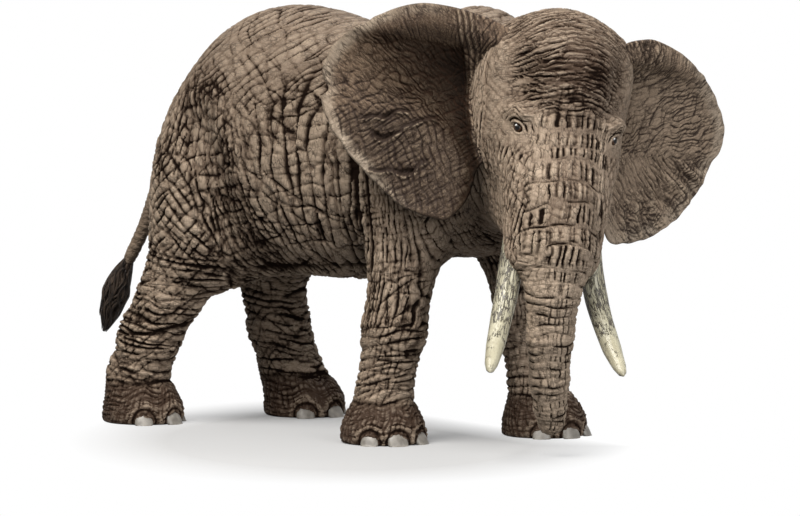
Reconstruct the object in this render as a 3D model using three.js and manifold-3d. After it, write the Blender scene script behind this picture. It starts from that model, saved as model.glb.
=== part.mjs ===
// A walking African elephant figure, moulded in eleven solid pieces that plug together.
// Millimetres, +X towards the chest, +Y to the animal's left, +Z up, soles on Z = 0.
import * as THREE from 'three';
import { mergeVertices } from 'three/addons/utils/BufferGeometryUtils.js';
import Module from 'manifold-3d';

const wasm = await Module();
wasm.setup();

// Body
const torsoLength = 88; // rump to chest
const torsoWidth = 46; // flank to flank
const torsoDepth = 57; // belly to the top of the rump
const bellyHeight = 29; // ground to belly
const stanceWidth = 31; // between the soles of a pair of legs
const hipSpread = 20; // between the hip joints
const shoulderSpread = 24; // between the shoulder joints
const torsoBlend = 9; // how widely the body's masses flow together
const limbBlend = 5; // how widely a leg flows into the body
const hollowBlend = 3; // how widely a hollow's edge is rounded

// Legs
const foreLegHeight = 54; // sole to shoulder joint
const hindLegHeight = 50; // sole to hip joint
const shoulderGirth = 21;
const thighGirth = 26;
const foreLegGirth = 13; // below the elbow
const hindLegGirth = 12.6; // below the knee
const foreFootWidth = 16.2;
const hindFootWidth = 15.4;
const footBallHeight = 2; // the widest level of a foot
const toeReach = 1.4; // the toes ahead of the heel
const rightForeStride = -6.6; // how far each foot stands ahead of its joint
const leftForeStride = 10.8;
const rightHindStride = -17.2;
const leftHindStride = -7; // its knee trails, and its foot is 0.08 of this ahead
const legBlend = 2;

// Head, in its own frame: +X the way it faces, origin midway between the eyes
const headLength = 30;
const headWidth = 31;
const headHeight = 50; // chin to crown
const headBlend = 5;
const headAhead = 19; // the head's origin ahead of the chest
const headAside = 8; // and to the right of the body's middle
const headLevel = 66; // and above the ground
const headYaw = -36; // degrees, negative to its right
const headPitch = 0;
const headRoll = -8.5; // degrees, negative left side down

// Neck
const neckLength = 30;
const neckWidth = 23;
const neckDepth = 40;
const neckYaw = -16;

// Trunk and the sheaths beside its root
const trunkLength = 58;
const trunkRootWidth = 19;
const trunkForward = 16; // how far it swings forward of the eyes
const trunkLean = 5.4; // how far its tip hangs to the left, which sets it upright
const trunkBlend = 1.2;
const sheathWidth = 11;
const sheathSpread = 11.6;
const sheathLength = 17;

// Ears
const earWidth = 37;
const earHeight = 42.8;
const earThickness = 1.9;
const earRimThickness = 1.3;
const earCup = 4; // how deep the ear is dished
const earCurl = 3.5; // how far its top edge leans forward
const earHollow = 3.5; // how deep it is below its top edge, near the head
const earRoll = 1.8; // how far its top edge bulges
const rightEarSweep = 26; // degrees, swept back from straight out
const leftEarSweep = 33;
const earTilt = -2; // degrees, both ears turned about the way the head faces, left one down

// Tusks
const tuskLength = 42;
const tuskWidth = 5;
const tuskSpread = 19.6; // between the tusks where they leave the sheaths
const tuskLean = 1; // how far both bend to the left

// Tail
const tailLength = 50;
const tailWidth = 3.2;
const tuftWidth = 5.6;

// Fits between the pieces, which are bonded together
const jointGap = 0.3;
const legPegWidth = 7;
const legPegLength = 6;
const neckPegWidth = 14;
const neckPegLength = 7;
const earTongueHeight = 15;
const earTongueDepth = 5;
const legSeamTilt = 10; // degrees, each leg's seam rises outwards
const legMargin = 6; // how far around a leg the body's skin may belong to it

// Fineness of the surfaces
const torsoCell = 3.6;
const legCell = 2.6;
const headCell = 2.4;
const pegSides = 20;
const tubeSides = 12;
const tubeRings = 14;

const radians = THREE.MathUtils.degToRad;
const backHeight = bellyHeight + torsoDepth;

// Implicit shapes: functions of a point that give its distance to a surface, negative inside

/** Two distances joined with a fillet: they flow together where they differ by less than blend. */
function join(a, b, blend) {
  const near = Math.max(blend - Math.abs(a - b), 0) / blend;
  return Math.min(a, b) - (near * near * blend) / 4;
}

/** A distance with a hole cut out of it, whose edge is rounded. */
function carve(a, hole, blend) {
  return -join(-a, hole, blend);
}

function joinAll(fields, blend) {
  return (x, y, z) => fields.reduce((d, field) => join(d, field(x, y, z), blend), Infinity);
}

function ellipsoid([cx, cy, cz], [rx, ry, rz]) {
  return (x, y, z) => {
    const [u, v, w] = [(x - cx) / rx, (y - cy) / ry, (z - cz) / rz];
    const level = Math.hypot(u, v, w);
    const slope = Math.hypot(u / rx, v / ry, w / rz);
    return slope > 0 ? (level * (level - 1)) / slope : -Math.min(rx, ry, rz);
  };
}

/** A bone between two balls, each { at: [x, y, z], radius }. */
function bone(a, b) {
  const along = b.at.map((value, axis) => value - a.at[axis]);
  const lengthSquared = along.reduce((sum, value) => sum + value * value, 0);
  return (x, y, z) => {
    const [u, v, w] = [x - a.at[0], y - a.at[1], z - a.at[2]];
    const dot = u * along[0] + v * along[1] + w * along[2];
    const share = THREE.MathUtils.clamp(dot / lengthSquared, 0, 1);
    const off = Math.hypot(u - share * along[0], v - share * along[1], w - share * along[2]);
    return off - THREE.MathUtils.lerp(a.radius, b.radius, share);
  };
}

function chain(balls, blend) {
  return joinAll(balls.slice(1).map((ball, i) => bone(balls[i], ball)), blend);
}

/**
 * Ellipsoids from rows of shares of a size: [along, side, up, half length, half width, half depth].
 * A row off the middle stands for a pair.
 */
function masses(rows, [length, width, depth], [originX, originY, originZ]) {
  return rows.flatMap(([along, side, up, halfLength, halfWidth, halfDepth]) => {
    const sides = side === 0 ? [0] : [side, -side];
    return sides.map((offset) =>
      ellipsoid(
        [originX + along * length, originY + offset * width, originZ + up * depth],
        [halfLength * length, halfWidth * width, halfDepth * depth],
      ),
    );
  });
}

// Body and neck

const rumpShare = 0.7; // of the body's length, behind the frame's origin
const torsoMassShares = [
  [0.396, 0, 0.575, 0.275, 0.435, 0.42], // pelvis
  [0.262, 0.217, 0.333, 0.165, 0.283, 0.351], // haunches
  [0.541, 0, 0.49, 0.432, 0.5, 0.454], // barrel
  [0.93, 0, 0.605, 0.193, 0.33, 0.44], // withers
  [0.848, 0.261, 0.52, 0.136, 0.207, 0.32], // shoulder blades
  [0.905, 0, 0.47, 0.136, 0.3, 0.2], // chest
];
// Furrows of each flank: their upper and lower end as shares [along, up] of the body's length and
// depth, and how far out they lie and how wide they are as shares of its width
const furrowShares = [
  { upper: [0.26, 0.6], lower: [0.39, 0.1], aside: 0.6, width: 0.36 }, // in front of the thigh
  { upper: [0.765, 0.52], lower: [0.755, 0.05], aside: 0.523, width: 0.1 }, // behind the shoulder
];
const rumpX = -rumpShare * torsoLength;
const furrows = furrowShares.flatMap(({ upper, lower, aside, width }) =>
  [1, -1].map((side) => {
    const [high, low] = [upper, lower].map(([along, up]) => ({
      at: [rumpX + along * torsoLength, side * aside * torsoWidth, bellyHeight + up * torsoDepth],
      radius: (width * torsoWidth) / 2,
    }));
    return bone(high, low);
  }),
);
const torsoMassField = joinAll(
  masses(torsoMassShares, [torsoLength, torsoWidth, torsoDepth], [rumpX, 0, bellyHeight]),
  torsoBlend,
);
const torsoField = (x, y, z) =>
  furrows.reduce((d, furrow) => carve(d, furrow(x, y, z), hollowBlend), torsoMassField(x, y, z));

const chestX = rumpX + torsoLength;
const headOrigin = [chestX + headAhead, -headAside, headLevel];
const headPose = new THREE.Matrix4().compose(
  new THREE.Vector3(...headOrigin),
  new THREE.Quaternion().setFromEuler(
    new THREE.Euler(radians(headRoll), radians(headPitch), radians(headYaw), 'ZYX'),
  ),
  new THREE.Vector3(1, 1, 1),
);

const neckSeamShare = 0.42; // of the way from the chest's middle to the head's origin
const neckDropShare = 1 / 12; // of the neck's depth, from the head's level down to the neck's middle
const neckSeamAt = [
  THREE.MathUtils.lerp(chestX - neckLength / 2, headOrigin[0], neckSeamShare),
  headOrigin[1] * neckSeamShare,
  headLevel - neckDropShare * neckDepth,
];
const neckField = ellipsoid(neckSeamAt, [neckLength / 2, neckWidth / 2, neckDepth / 2]);
const frontField = (x, y, z) => join(torsoField(x, y, z), neckField(x, y, z), torsoBlend);

// Legs

// heightShares and girthShares are for the levels between a leg's joint and its foot, from the top
const foreLeg = {
  jointShare: 0.86, // of the body's length, from the rump
  jointY: shoulderSpread / 2,
  height: foreLegHeight,
  jointGirth: shoulderGirth,
  girth: foreLegGirth,
  footWidth: foreFootWidth,
  heightShares: [0.68, 0.43, 0.19],
  girthShares: [1.04, 0.99, 0.85],
  seamShare: 0.63, // of the leg's height
};
const hindLeg = {
  jointShare: 0.268,
  jointY: hipSpread / 2,
  height: hindLegHeight,
  jointGirth: thighGirth,
  girth: hindLegGirth,
  footWidth: hindFootWidth,
  heightShares: [0.54, 0.36, 0.18],
  girthShares: [1.04, 1, 0.98],
  seamShare: 0.56,
};
// side is +1 for a left leg. strideShares say how much of the stride each level has, from the joint down.
const legs = {
  right_fore_leg: { ...foreLeg, side: -1, stride: rightForeStride, strideShares: [0, 0.32, 0.52, 0.92, 1] },
  left_fore_leg: { ...foreLeg, side: 1, stride: leftForeStride, strideShares: [0.1, 0.45, 0.65, 0.85, 1] },
  right_hind_leg: { ...hindLeg, side: -1, stride: rightHindStride, strideShares: [0, 0.56, 0.87, 1.06, 1] },
  left_hind_leg: { ...hindLeg, side: 1, stride: leftHindStride, strideShares: [0, 1, 0.82, 0.36, -0.08] },
};

/** The balls that a leg is strung on, from its joint to its foot. */
function legBalls(leg) {
  const jointX = rumpX + leg.jointShare * torsoLength;
  const heights = [leg.height, ...leg.heightShares.map((share) => share * leg.height), footBallHeight];
  const widths = [leg.jointGirth, ...leg.girthShares.map((share) => share * leg.girth), leg.footWidth];
  return heights.map((z, i) => {
    const spreadShare = Math.max(2 * (z / leg.height) - 1, 0); // the upper half leans to the joint
    const y = leg.side * THREE.MathUtils.lerp(stanceWidth / 2, leg.jointY, spreadShare);
    return { at: [jointX + leg.stride * leg.strideShares[i], y, z], radius: widths[i] / 2 };
  });
}

function legField(leg) {
  const balls = legBalls(leg);
  const heel = balls.at(-1);
  const toe = { at: [heel.at[0] + toeReach, heel.at[1], heel.at[2]], radius: heel.radius - toeReach / 4 };
  return joinAll([chain(balls, legBlend), bone(heel, toe)], legBlend);
}

const legFields = Object.values(legs).map(legField);
const bodyField = (x, y, z) =>
  legFields.reduce((d, field) => join(d, field(x, y, z), limbBlend), frontField(x, y, z));

// Head, in its own frame

const headMassShares = [
  [-0.05, 0, 0.22, 0.48, 0.465, 0.26], // cranium
  [0.2, 0, 0.08, 0.29, 0.28, 0.28], // forehead
  [0.13, 0.27, -0.04, 0.21, 0.16, 0.14], // cheekbones
  [-0.06, 0.37, 0.1, 0.12, 0.11, 0.26], // where the ears grow
  [0, 0.165, -0.18, 0.3, 0.17, 0.26], // cheeks
  [0.067, 0, -0.4, 0.267, 0.21, 0.16], // jaw
];
const templeShares = [[0.37, 0.4, 0.2, 0.19, 0.14, 0.15]]; // hollows
const browShares = [[0.28, 0.3, 0.05, 0.14, 0.1, 0.04]];
const browBlend = 2;
// Rows of [down, forward, left, width]: shares of the trunk's length, swing, lean and root width
const trunkStationShares = [
  [0.05, 0.5, 0, 0.82],
  [0.24, 0.76, 0, 0.86],
  [0.41, 0.97, 0, 0.74],
  [0.55, 1, 0.03, 0.59],
  [0.71, 0.95, 0.2, 0.5],
  [0.86, 0.84, 0.52, 0.42],
  [0.95, 0.74, 0.78, 0.35],
  [1.01, 0.64, 1, 0.3],
];
const trunkBalls = trunkStationShares.map(([down, forward, left, width]) => ({
  at: [forward * trunkForward, left * trunkLean, -down * trunkLength],
  radius: (width * trunkRootWidth) / 2,
}));
// A sheath's upper and lower end: shares of the swing ahead, and of the sheath's width
const sheathShares = { topDown: 0.16, topAhead: 0.5, endAhead: 0.72, endWidth: 0.74 };
const sheathTop = -sheathShares.topDown * headHeight;
const sheathFields = [1, -1].map((side) => {
  const y = (side * sheathSpread) / 2;
  return bone(
    { at: [sheathShares.topAhead * trunkForward, y, sheathTop], radius: sheathWidth / 2 },
    {
      at: [sheathShares.endAhead * trunkForward, y, sheathTop - sheathLength],
      radius: (sheathShares.endWidth * sheathWidth) / 2,
    },
  );
});
const headSize = [headLength, headWidth, headHeight];
const skullField = joinAll([...masses(headMassShares, headSize, [0, 0, 0]), ...sheathFields], headBlend);
const temples = masses(templeShares, headSize, [0, 0, 0]);
const brows = masses(browShares, headSize, [0, 0, 0]);
const trunkField = chain(trunkBalls, trunkBlend);

/** The skull and trunk, without the neck. */
function faceField(x, y, z) {
  const skull = temples.reduce((d, temple) => carve(d, temple(x, y, z), hollowBlend), skullField(x, y, z));
  const browed = brows.reduce((d, brow) => join(d, brow(x, y, z), browBlend), skull);
  return join(browed, trunkField(x, y, z), headBlend);
}

function headField(x, y, z) {
  const body = new THREE.Vector3(x, y, z).applyMatrix4(headPose);
  return join(faceField(x, y, z), frontField(body.x, body.y, body.z), torsoBlend);
}

// Turning fields and geometries into solids

/** A closed net of triangles over a field's surface, in a box from low to high on a grid of cells. */
function surfaceNet(field, low, high, cell) {
  const count = low.map((value, axis) => Math.ceil((high[axis] - value) / cell) + 1);
  const strides = [1, count[0], count[0] * count[1]];
  const at = (i, j, k) => i + j * strides[1] + k * strides[2];
  const onRim = (i, j, k) => [i, j, k].some((n, axis) => n === 0 || n === count[axis] - 1);
  const value = new Float64Array(count[0] * count[1] * count[2]);
  for (let k = 0; k < count[2]; k++)
    for (let j = 0; j < count[1]; j++)
      for (let i = 0; i < count[0]; i++) {
        const d = field(low[0] + i * cell, low[1] + j * cell, low[2] + k * cell);
        value[at(i, j, k)] = onRim(i, j, k) ? Math.max(d, cell / 2) : d;
      }

  const corners = [0, 1, 2, 3, 4, 5, 6, 7].map((n) => [n & 1, (n >> 1) & 1, n >> 2]);
  const points = [];
  const pointOf = new Int32Array(value.length).fill(-1);
  for (let k = 0; k < count[2] - 1; k++)
    for (let j = 0; j < count[1] - 1; j++)
      for (let i = 0; i < count[0] - 1; i++) {
        const cornerValues = corners.map(([a, b, c]) => value[at(i + a, j + b, k + c)]);
        const crossings = [];
        for (let n = 0; n < 8; n++)
          for (const bit of [1, 2, 4]) {
            const m = n | bit;
            if (m === n || cornerValues[n] < 0 === cornerValues[m] < 0) continue;
            const share = cornerValues[n] / (cornerValues[n] - cornerValues[m]);
            crossings.push(corners[n].map((c, axis) => c + share * (corners[m][axis] - c)));
          }
        if (!crossings.length) continue;
        const middle = [0, 1, 2].map(
          (axis) => crossings.reduce((sum, c) => sum + c[axis], 0) / crossings.length,
        );
        const point = [i, j, k].map((n, axis) => low[axis] + (n + middle[axis]) * cell);
        const inside = [i, j, k].every((n, axis) => n > 0 && n < count[axis] - 2);
        pointOf[at(i, j, k)] = points.length;
        points.push(inside ? settle(field, point, cell / 2) : point);
      }

  const triangles = [];
  for (let k = 0; k < count[2] - 1; k++)
    for (let j = 0; j < count[1] - 1; j++)
      for (let i = 0; i < count[0] - 1; i++)
        for (let axis = 0; axis < 3; axis++) {
          const here = at(i, j, k);
          const inside = value[here] < 0;
          if (inside === value[here + strides[axis]] < 0) continue;
          const [u, v] = [strides[(axis + 1) % 3], strides[(axis + 2) % 3]];
          const ring = [here - u - v, here - v, here, here - u].map((n) => pointOf[n]);
          if (!inside) ring.reverse();
          const span = (a, b) => Math.hypot(...points[ring[a]].map((p, n) => p - points[ring[b]][n]));
          const turn = span(0, 2) <= span(1, 3) ? 0 : 1;
          const [a, b, c, d] = [0, 1, 2, 3].map((n) => ring[(n + turn) % 4]);
          triangles.push(a, b, c, a, c, d);
        }
  return { points, triangles };
}

/** Moves a point onto the field's surface, by at most longest in each step. */
function settle(field, point, longest) {
  const probe = longest / 50;
  let [x, y, z] = point;
  for (let step = 0; step < 3; step++) {
    const d = field(x, y, z);
    const slope = [
      (field(x + probe, y, z) - d) / probe,
      (field(x, y + probe, z) - d) / probe,
      (field(x, y, z + probe) - d) / probe,
    ];
    const steepness = Math.hypot(...slope);
    const move = THREE.MathUtils.clamp(d / steepness, -longest, longest) / steepness;
    [x, y, z] = [x - move * slope[0], y - move * slope[1], z - move * slope[2]];
  }
  return [x, y, z];
}

/** True if every edge of the triangles is shared by exactly two of them, in opposite directions. */
function isClosed(triangles) {
  const edges = new Set();
  for (let i = 0; i < triangles.length; i += 3)
    for (let n = 0; n < 3; n++) {
      const edge = `${triangles[i + n]},${triangles[i + ((n + 1) % 3)]}`;
      if (edges.has(edge)) return false;
      edges.add(edge);
    }
  return [...edges].every((edge) => edges.has(edge.split(',').reverse().join(',')));
}

/** The solid inside a field. Where one grid's net touches itself, the next grid lies a little off it. */
function skin(field, low, high, cell) {
  let net;
  for (const phase of [0, 0.37, 0.71]) {
    const shifted = low.map((value) => value - phase * cell);
    net = surfaceNet(field, shifted, high, cell);
    if (isClosed(net.triangles)) break;
  }
  return solidFrom(net.points.flat(), net.triangles);
}

function solidFrom(coordinates, triangles) {
  return new wasm.Manifold(
    new wasm.Mesh({
      numProp: 3,
      vertProperties: new Float32Array(coordinates),
      triVerts: new Uint32Array(triangles),
    }),
  );
}

/** A solid from an indexed three.js geometry, moved by a matrix, which may mirror it. */
function solidOf(geometry, matrix) {
  const bare = new THREE.BufferGeometry();
  bare.setAttribute('position', geometry.getAttribute('position').clone());
  bare.setIndex(geometry.index);
  bare.applyMatrix4(matrix);
  const merged = mergeVertices(bare);
  const triangles = merged.index.array;
  if (matrix.determinant() < 0) triangles.reverse();
  return solidFrom(merged.attributes.position.array, triangles);
}

function geometryOf(solid) {
  const mesh = solid.getMesh();
  const geometry = new THREE.BufferGeometry();
  geometry.setAttribute('position', new THREE.BufferAttribute(mesh.vertProperties, 3));
  geometry.setIndex(new THREE.BufferAttribute(mesh.triVerts, 1));
  geometry.computeVertexNormals();
  return geometry;
}

/** A frame at a point, turned by the given degrees about its own X, then Y, then Z. */
function placed(at, xTurn, yTurn, zTurn) {
  return new THREE.Matrix4().compose(
    new THREE.Vector3(...at),
    new THREE.Quaternion().setFromEuler(
      new THREE.Euler(radians(xTurn), radians(yTurn), radians(zTurn), 'ZYX'),
    ),
    new THREE.Vector3(1, 1, 1),
  );
}

/** A cylinder from z = -below to z = above in the frame that matrix gives. */
function post(width, below, above, matrix) {
  const geometry = new THREE.CylinderGeometry(width / 2, width / 2, below + above, pegSides);
  geometry.rotateX(Math.PI / 2);
  geometry.translate(0, 0, (above - below) / 2);
  return solidOf(geometry, matrix);
}

/** A block of the given size whose top face is z = top in the frame that matrix gives. */
function block([length, width, height], top, matrix) {
  const geometry = new THREE.BoxGeometry(length, width, height);
  geometry.translate(0, 0, top - height / 2);
  return solidOf(geometry, matrix);
}

/** A tube along a curve, with a width at each share. It begins an overrun before the curve. */
function tube(curve, widthAt, overrun = 0) {
  const frames = curve.computeFrenetFrames(tubeRings);
  const points = [];
  const triangles = [];
  for (let ring = 0; ring <= tubeRings; ring++) {
    const share = ring / tubeRings;
    const centre = curve.getPointAt(share);
    if (ring === 0) centre.addScaledVector(frames.tangents[0], -overrun);
    for (let side = 0; side < tubeSides; side++) {
      const turn = (side / tubeSides) * 2 * Math.PI;
      const radius = widthAt(share) / 2;
      const point = centre
        .clone()
        .addScaledVector(frames.normals[ring], radius * Math.cos(turn))
        .addScaledVector(frames.binormals[ring], radius * Math.sin(turn));
      points.push(...point.toArray());
    }
  }
  for (let ring = 0; ring < tubeRings; ring++)
    for (let side = 0; side < tubeSides; side++) {
      const next = (side + 1) % tubeSides;
      const [a, b] = [ring * tubeSides + side, ring * tubeSides + next];
      const [c, d] = [a + tubeSides, b + tubeSides];
      triangles.push(a, b, d, a, d, c);
    }
  const last = tubeRings * tubeSides;
  for (let side = 1; side < tubeSides - 1; side++) {
    triangles.push(0, side + 1, side);
    triangles.push(last, last + side, last + side + 1);
  }
  return solidFrom(points, triangles);
}

/** A function that reads a table of [share, value] rows, straight between them. */
function profile(rows) {
  return (share) => {
    const after = rows.findIndex(([at]) => at >= share);
    if (after <= 0) return rows.at(after)[1];
    const [[a, from], [b, to]] = [rows[after - 1], rows[after]];
    return THREE.MathUtils.mapLinear(share, a, b, from, to);
  };
}

// Seams between the pieces

const reach = 2 * torsoLength; // longer than any piece, for the blocks that cut

/** The frame of the neck's seam: its +Z points along the neck towards the head. */
const neckSeam = placed(neckSeamAt, 0, 90, neckYaw);

/** The frame of a leg's seam: its +Z points up into the body. */
function legSeam(leg) {
  const balls = legBalls(leg);
  const z = leg.seamShare * leg.height;
  const below = balls.findIndex((ball) => ball.at[2] < z);
  const [upper, lower] = [balls[below - 1].at, balls[below].at];
  const share = (upper[2] - z) / (upper[2] - lower[2]);
  const [x, y] = [0, 1].map((axis) => THREE.MathUtils.lerp(upper[axis], lower[axis], share));
  return placed([x, y, z], leg.side * legSeamTilt, 0, 0);
}

// Tail

const tailRootShares = { ahead: 0.12, up: 0.59 }; // of the body's length and depth, from the rump and belly
const tailRoot = [
  rumpX + tailRootShares.ahead * torsoLength,
  0,
  bellyHeight + tailRootShares.up * torsoDepth,
];
// Points as shares of the tail's length: [behind, left of, below] its root inside the rump
const tailPointShares = [
  [0, 0, 0],
  [0.12, 0.01, 0.04],
  [0.195, 0.02, 0.145],
  [0.27, 0.03, 0.325],
  [0.35, 0.04, 0.495],
  [0.415, 0.04, 0.61],
  [0.467, 0.04, 0.7],
  [0.512, 0.04, 0.8],
  [0.565, 0.04, 0.94],
];
// Rows of [share of the way along, share of the width]
const tailStemShares = profile([
  [0, 1.25],
  [0.2, 1.1],
  [0.45, 0.95],
  [0.68, 0.8],
  [0.71, 0],
]);
const tailTuftShares = profile([
  [0.68, 0],
  [0.75, 0.62],
  [0.85, 1],
  [0.93, 0.8],
  [1, 0.3],
]);
const tailCurve = new THREE.CatmullRomCurve3(
  tailPointShares.map(([behind, left, below]) =>
    new THREE.Vector3(-behind, left, -below).multiplyScalar(tailLength).add(new THREE.Vector3(...tailRoot)),
  ),
);
const tailWidthAt = (share) => Math.max(tailWidth * tailStemShares(share), tuftWidth * tailTuftShares(share));

// Tusks, in the head's frame

// Rows of [ahead, aside, down, lean]: shares of the tusk's length, of half the spread, of the tusk's
// length and of the lean
const tuskPointShares = [
  [0.2, 0.72, 0.38, 0],
  [0.24, 0.82, 0.58, 0.4],
  [0.31, 0.96, 0.8, 0.8],
  [0.45, 1.22, 1.02, 0.9],
  [0.62, 1.45, 1.17, 0.5],
];
const leftTuskShare = 0.95; // of the right one's length
const tuskWidthShares = profile([
  [0, 1],
  [0.6, 0.96],
  [0.88, 0.78],
  [0.96, 0.55],
  [1, 0.25],
]);
const tuskWidthAt = (share) => tuskWidth * tuskWidthShares(share);

function tuskCurve(side) {
  const length = side > 0 ? leftTuskShare * tuskLength : tuskLength;
  return new THREE.CatmullRomCurve3(
    tuskPointShares.map(([ahead, aside, down, lean]) => {
      const y = (side * aside * tuskSpread) / 2 + lean * tuskLean;
      return new THREE.Vector3(ahead * length, y, -down * length);
    }),
  );
}

// Ears: a sheet whose own frame has +X out from the head, +Y up and +Z to the front

const earRootShares = { aside: 0.4, below: 0.06 }; // of the head's width and height
const earRoot = [0, earRootShares.aside * headWidth, -earRootShares.below * headHeight];
const earMiddleShares = [0.38, 0.52]; // of the ear's width from its root and of its height from its lobe
const earLevelShare = 0.44; // of the ear's height, from its lobe to the level of its root
const earRingShares = [0.3, 0.55, 0.7, 0.8, 0.9, 1];
const earCurlShare = 0.7; // of the ear's height, above which its edge leans forward
const earHollowShares = { out: 0.22, up: 0.67, width: 0.17, height: 0.14 };
const earRollShares = { lowest: 0.74, highest: 0.88, ring: 0.8, width: 0.16 };
// Each ear's rim, as shares of its width out from the root and of its height above the lobe
const rightEarRimShares = [
  [-0.12, 0.88],
  [0.05, 0.96],
  [0.22, 0.99],
  [0.37, 1],
  [0.51, 0.99],
  [0.65, 0.94],
  [0.77, 0.87],
  [0.88, 0.8],
  [0.95, 0.72],
  [0.985, 0.64],
  [0.98, 0.57],
  [0.935, 0.51],
  [0.965, 0.46],
  [0.93, 0.39],
  [0.86, 0.31],
  [0.75, 0.215],
  [0.65, 0.15],
  [0.5, 0.06],
  [0.36, 0.01],
  [0.24, 0],
  [0.15, 0.02],
  [0.09, 0.09],
  [0.055, 0.18],
  [0.02, 0.28],
  [-0.08, 0.4],
  [-0.12, 0.6],
];
const leftEarRimShares = [
  [-0.12, 0.9],
  [-0.04, 0.95],
  [0.09, 0.975],
  [0.22, 0.98],
  [0.44, 0.935],
  [0.65, 0.85],
  [0.78, 0.785],
  [0.87, 0.715],
  [0.95, 0.625],
  [0.96, 0.55],
  [0.945, 0.495],
  [0.905, 0.45],
  [0.87, 0.4],
  [0.81, 0.315],
  [0.715, 0.19],
  [0.64, 0.13],
  [0.55, 0.065],
  [0.43, 0.035],
  [0.28, 0.01],
  [0.14, 0],
  [0.07, 0.06],
  [0.03, 0.2],
  [-0.08, 0.4],
  [-0.12, 0.6],
];

/** 1 at the middle of a bump that is about a width wide, and 0 away from it. */
function bump(value, middle, width) {
  return Math.exp(-(((value - middle) / width) ** 2));
}

/** How far the ear's sheet lies in front of its own plane, at shares of its width and height. */
function earDish(out, up, ringShare) {
  const dish = (out - earMiddleShares[0]) ** 2 + (up - earMiddleShares[1]) ** 2;
  const curl = (Math.max(up - earCurlShare, 0) / (1 - earCurlShare)) ** 2;
  const fold = Math.sin(3 * Math.PI * (out + up / 3)) * out;
  const hollow = earHollowShares;
  const sunk = bump(out, hollow.out, hollow.width) * bump(up, hollow.up, hollow.height);
  const roll = earRollShares;
  const onTop = THREE.MathUtils.smoothstep(up, roll.lowest, roll.highest);
  const rolled = onTop * bump(ringShare, roll.ring, roll.width);
  return (
    earCup * (2 * dish - 1 / 2) +
    earCurl * curl * out +
    (earThickness / 2) * fold -
    earHollow * sunk +
    earRoll * rolled
  );
}

/** The frame of an ear in the head's frame; side is +1 for the left one. */
function earFrame(side) {
  const turn = radians(side > 0 ? leftEarSweep : rightEarSweep);
  const out = new THREE.Vector3(-Math.sin(turn), side * Math.cos(turn), 0);
  const up = new THREE.Vector3(0, 0, 1);
  const front = new THREE.Vector3(Math.cos(turn), side * Math.sin(turn), 0);
  const [x, y, z] = earRoot;
  const level = new THREE.Matrix4().makeBasis(out, up, front);
  const tilted = new THREE.Matrix4().makeRotationX(radians(earTilt)).multiply(level);
  return tilted.setPosition(x, side * y, z);
}

function earSheet(side) {
  const shares = side > 0 ? leftEarRimShares : rightEarRimShares;
  const rim = shares.map(([out, up]) => new THREE.Vector3(out, up, 0));
  const outline = new THREE.CatmullRomCurve3(rim, true).getPoints(2 * rim.length).slice(1);
  const frame = earFrame(side);
  const points = [];
  const addPoint = (out, up, ringShare, face) => {
    const thickness = THREE.MathUtils.lerp(earThickness, earRimThickness, ringShare);
    const z = earDish(out, up, ringShare) + (face * thickness) / 2;
    const point = new THREE.Vector3(out * earWidth, (up - earLevelShare) * earHeight, z);
    points.push(...point.applyMatrix4(frame).toArray());
  };
  for (const face of [1, -1]) {
    addPoint(...earMiddleShares, 0, face);
    for (const ringShare of earRingShares)
      for (const { x, y } of outline) {
        const out = THREE.MathUtils.lerp(earMiddleShares[0], x, ringShare);
        addPoint(out, THREE.MathUtils.lerp(earMiddleShares[1], y, ringShare), ringShare, face);
      }
  }

  const count = outline.length;
  const faceSize = 1 + count * earRingShares.length;
  const triangles = [];
  const addTriangle = (a, b, c, flipped) => triangles.push(...(flipped ? [a, c, b] : [a, b, c]));
  for (let n = 0; n < count; n++) {
    const next = (n + 1) % count;
    for (const start of [0, faceSize]) {
      const flipped = (start === 0) === (side > 0);
      addTriangle(start, start + 1 + n, start + 1 + next, flipped);
      for (let ring = 1; ring < earRingShares.length; ring++) {
        const [inner, outer] = [start + 1 + (ring - 1) * count, start + 1 + ring * count];
        addTriangle(inner + n, outer + n, outer + next, flipped);
        addTriangle(inner + n, outer + next, inner + next, flipped);
      }
    }
    const [front, back] = [faceSize - count, 2 * faceSize - count];
    addTriangle(front + n, back + n, back + next, side > 0);
    addTriangle(front + n, back + next, front + next, side > 0);
  }
  return solidFrom(points, triangles);
}

/** The tongue that holds an ear, grown by a clearance for the slot that it sits in. */
function earTongue(side, clearance) {
  const length = 2 * (earTongueDepth + clearance);
  const thickness = earThickness + 2 * clearance;
  const tongue = new THREE.BoxGeometry(length, earTongueHeight + 2 * clearance, thickness);
  tongue.translate(0, 0, earDish(0, earLevelShare, 1));
  return solidOf(tongue, earFrame(side));
}

// The pieces

/** The low and high corners of a box around the balls that a limb is strung on. */
function boundsOf(balls, margin) {
  const low = [0, 1, 2].map((axis) => Math.min(...balls.map((b) => b.at[axis] - b.radius)) - margin);
  const high = [0, 1, 2].map((axis) => Math.max(...balls.map((b) => b.at[axis] + b.radius)) + margin);
  return [low, high];
}

/** All that lies below a leg's seam and within a margin of the leg, up to a gap above the seam. */
function legRegion(leg, margin, gap) {
  const field = legField(leg);
  const [low, high] = boundsOf(legBalls(leg), margin + 2 * legCell);
  return skin((x, y, z) => field(x, y, z) - margin, low, high, legCell).intersect(
    block([reach, reach, reach], gap, legSeam(leg)),
  );
}

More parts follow.
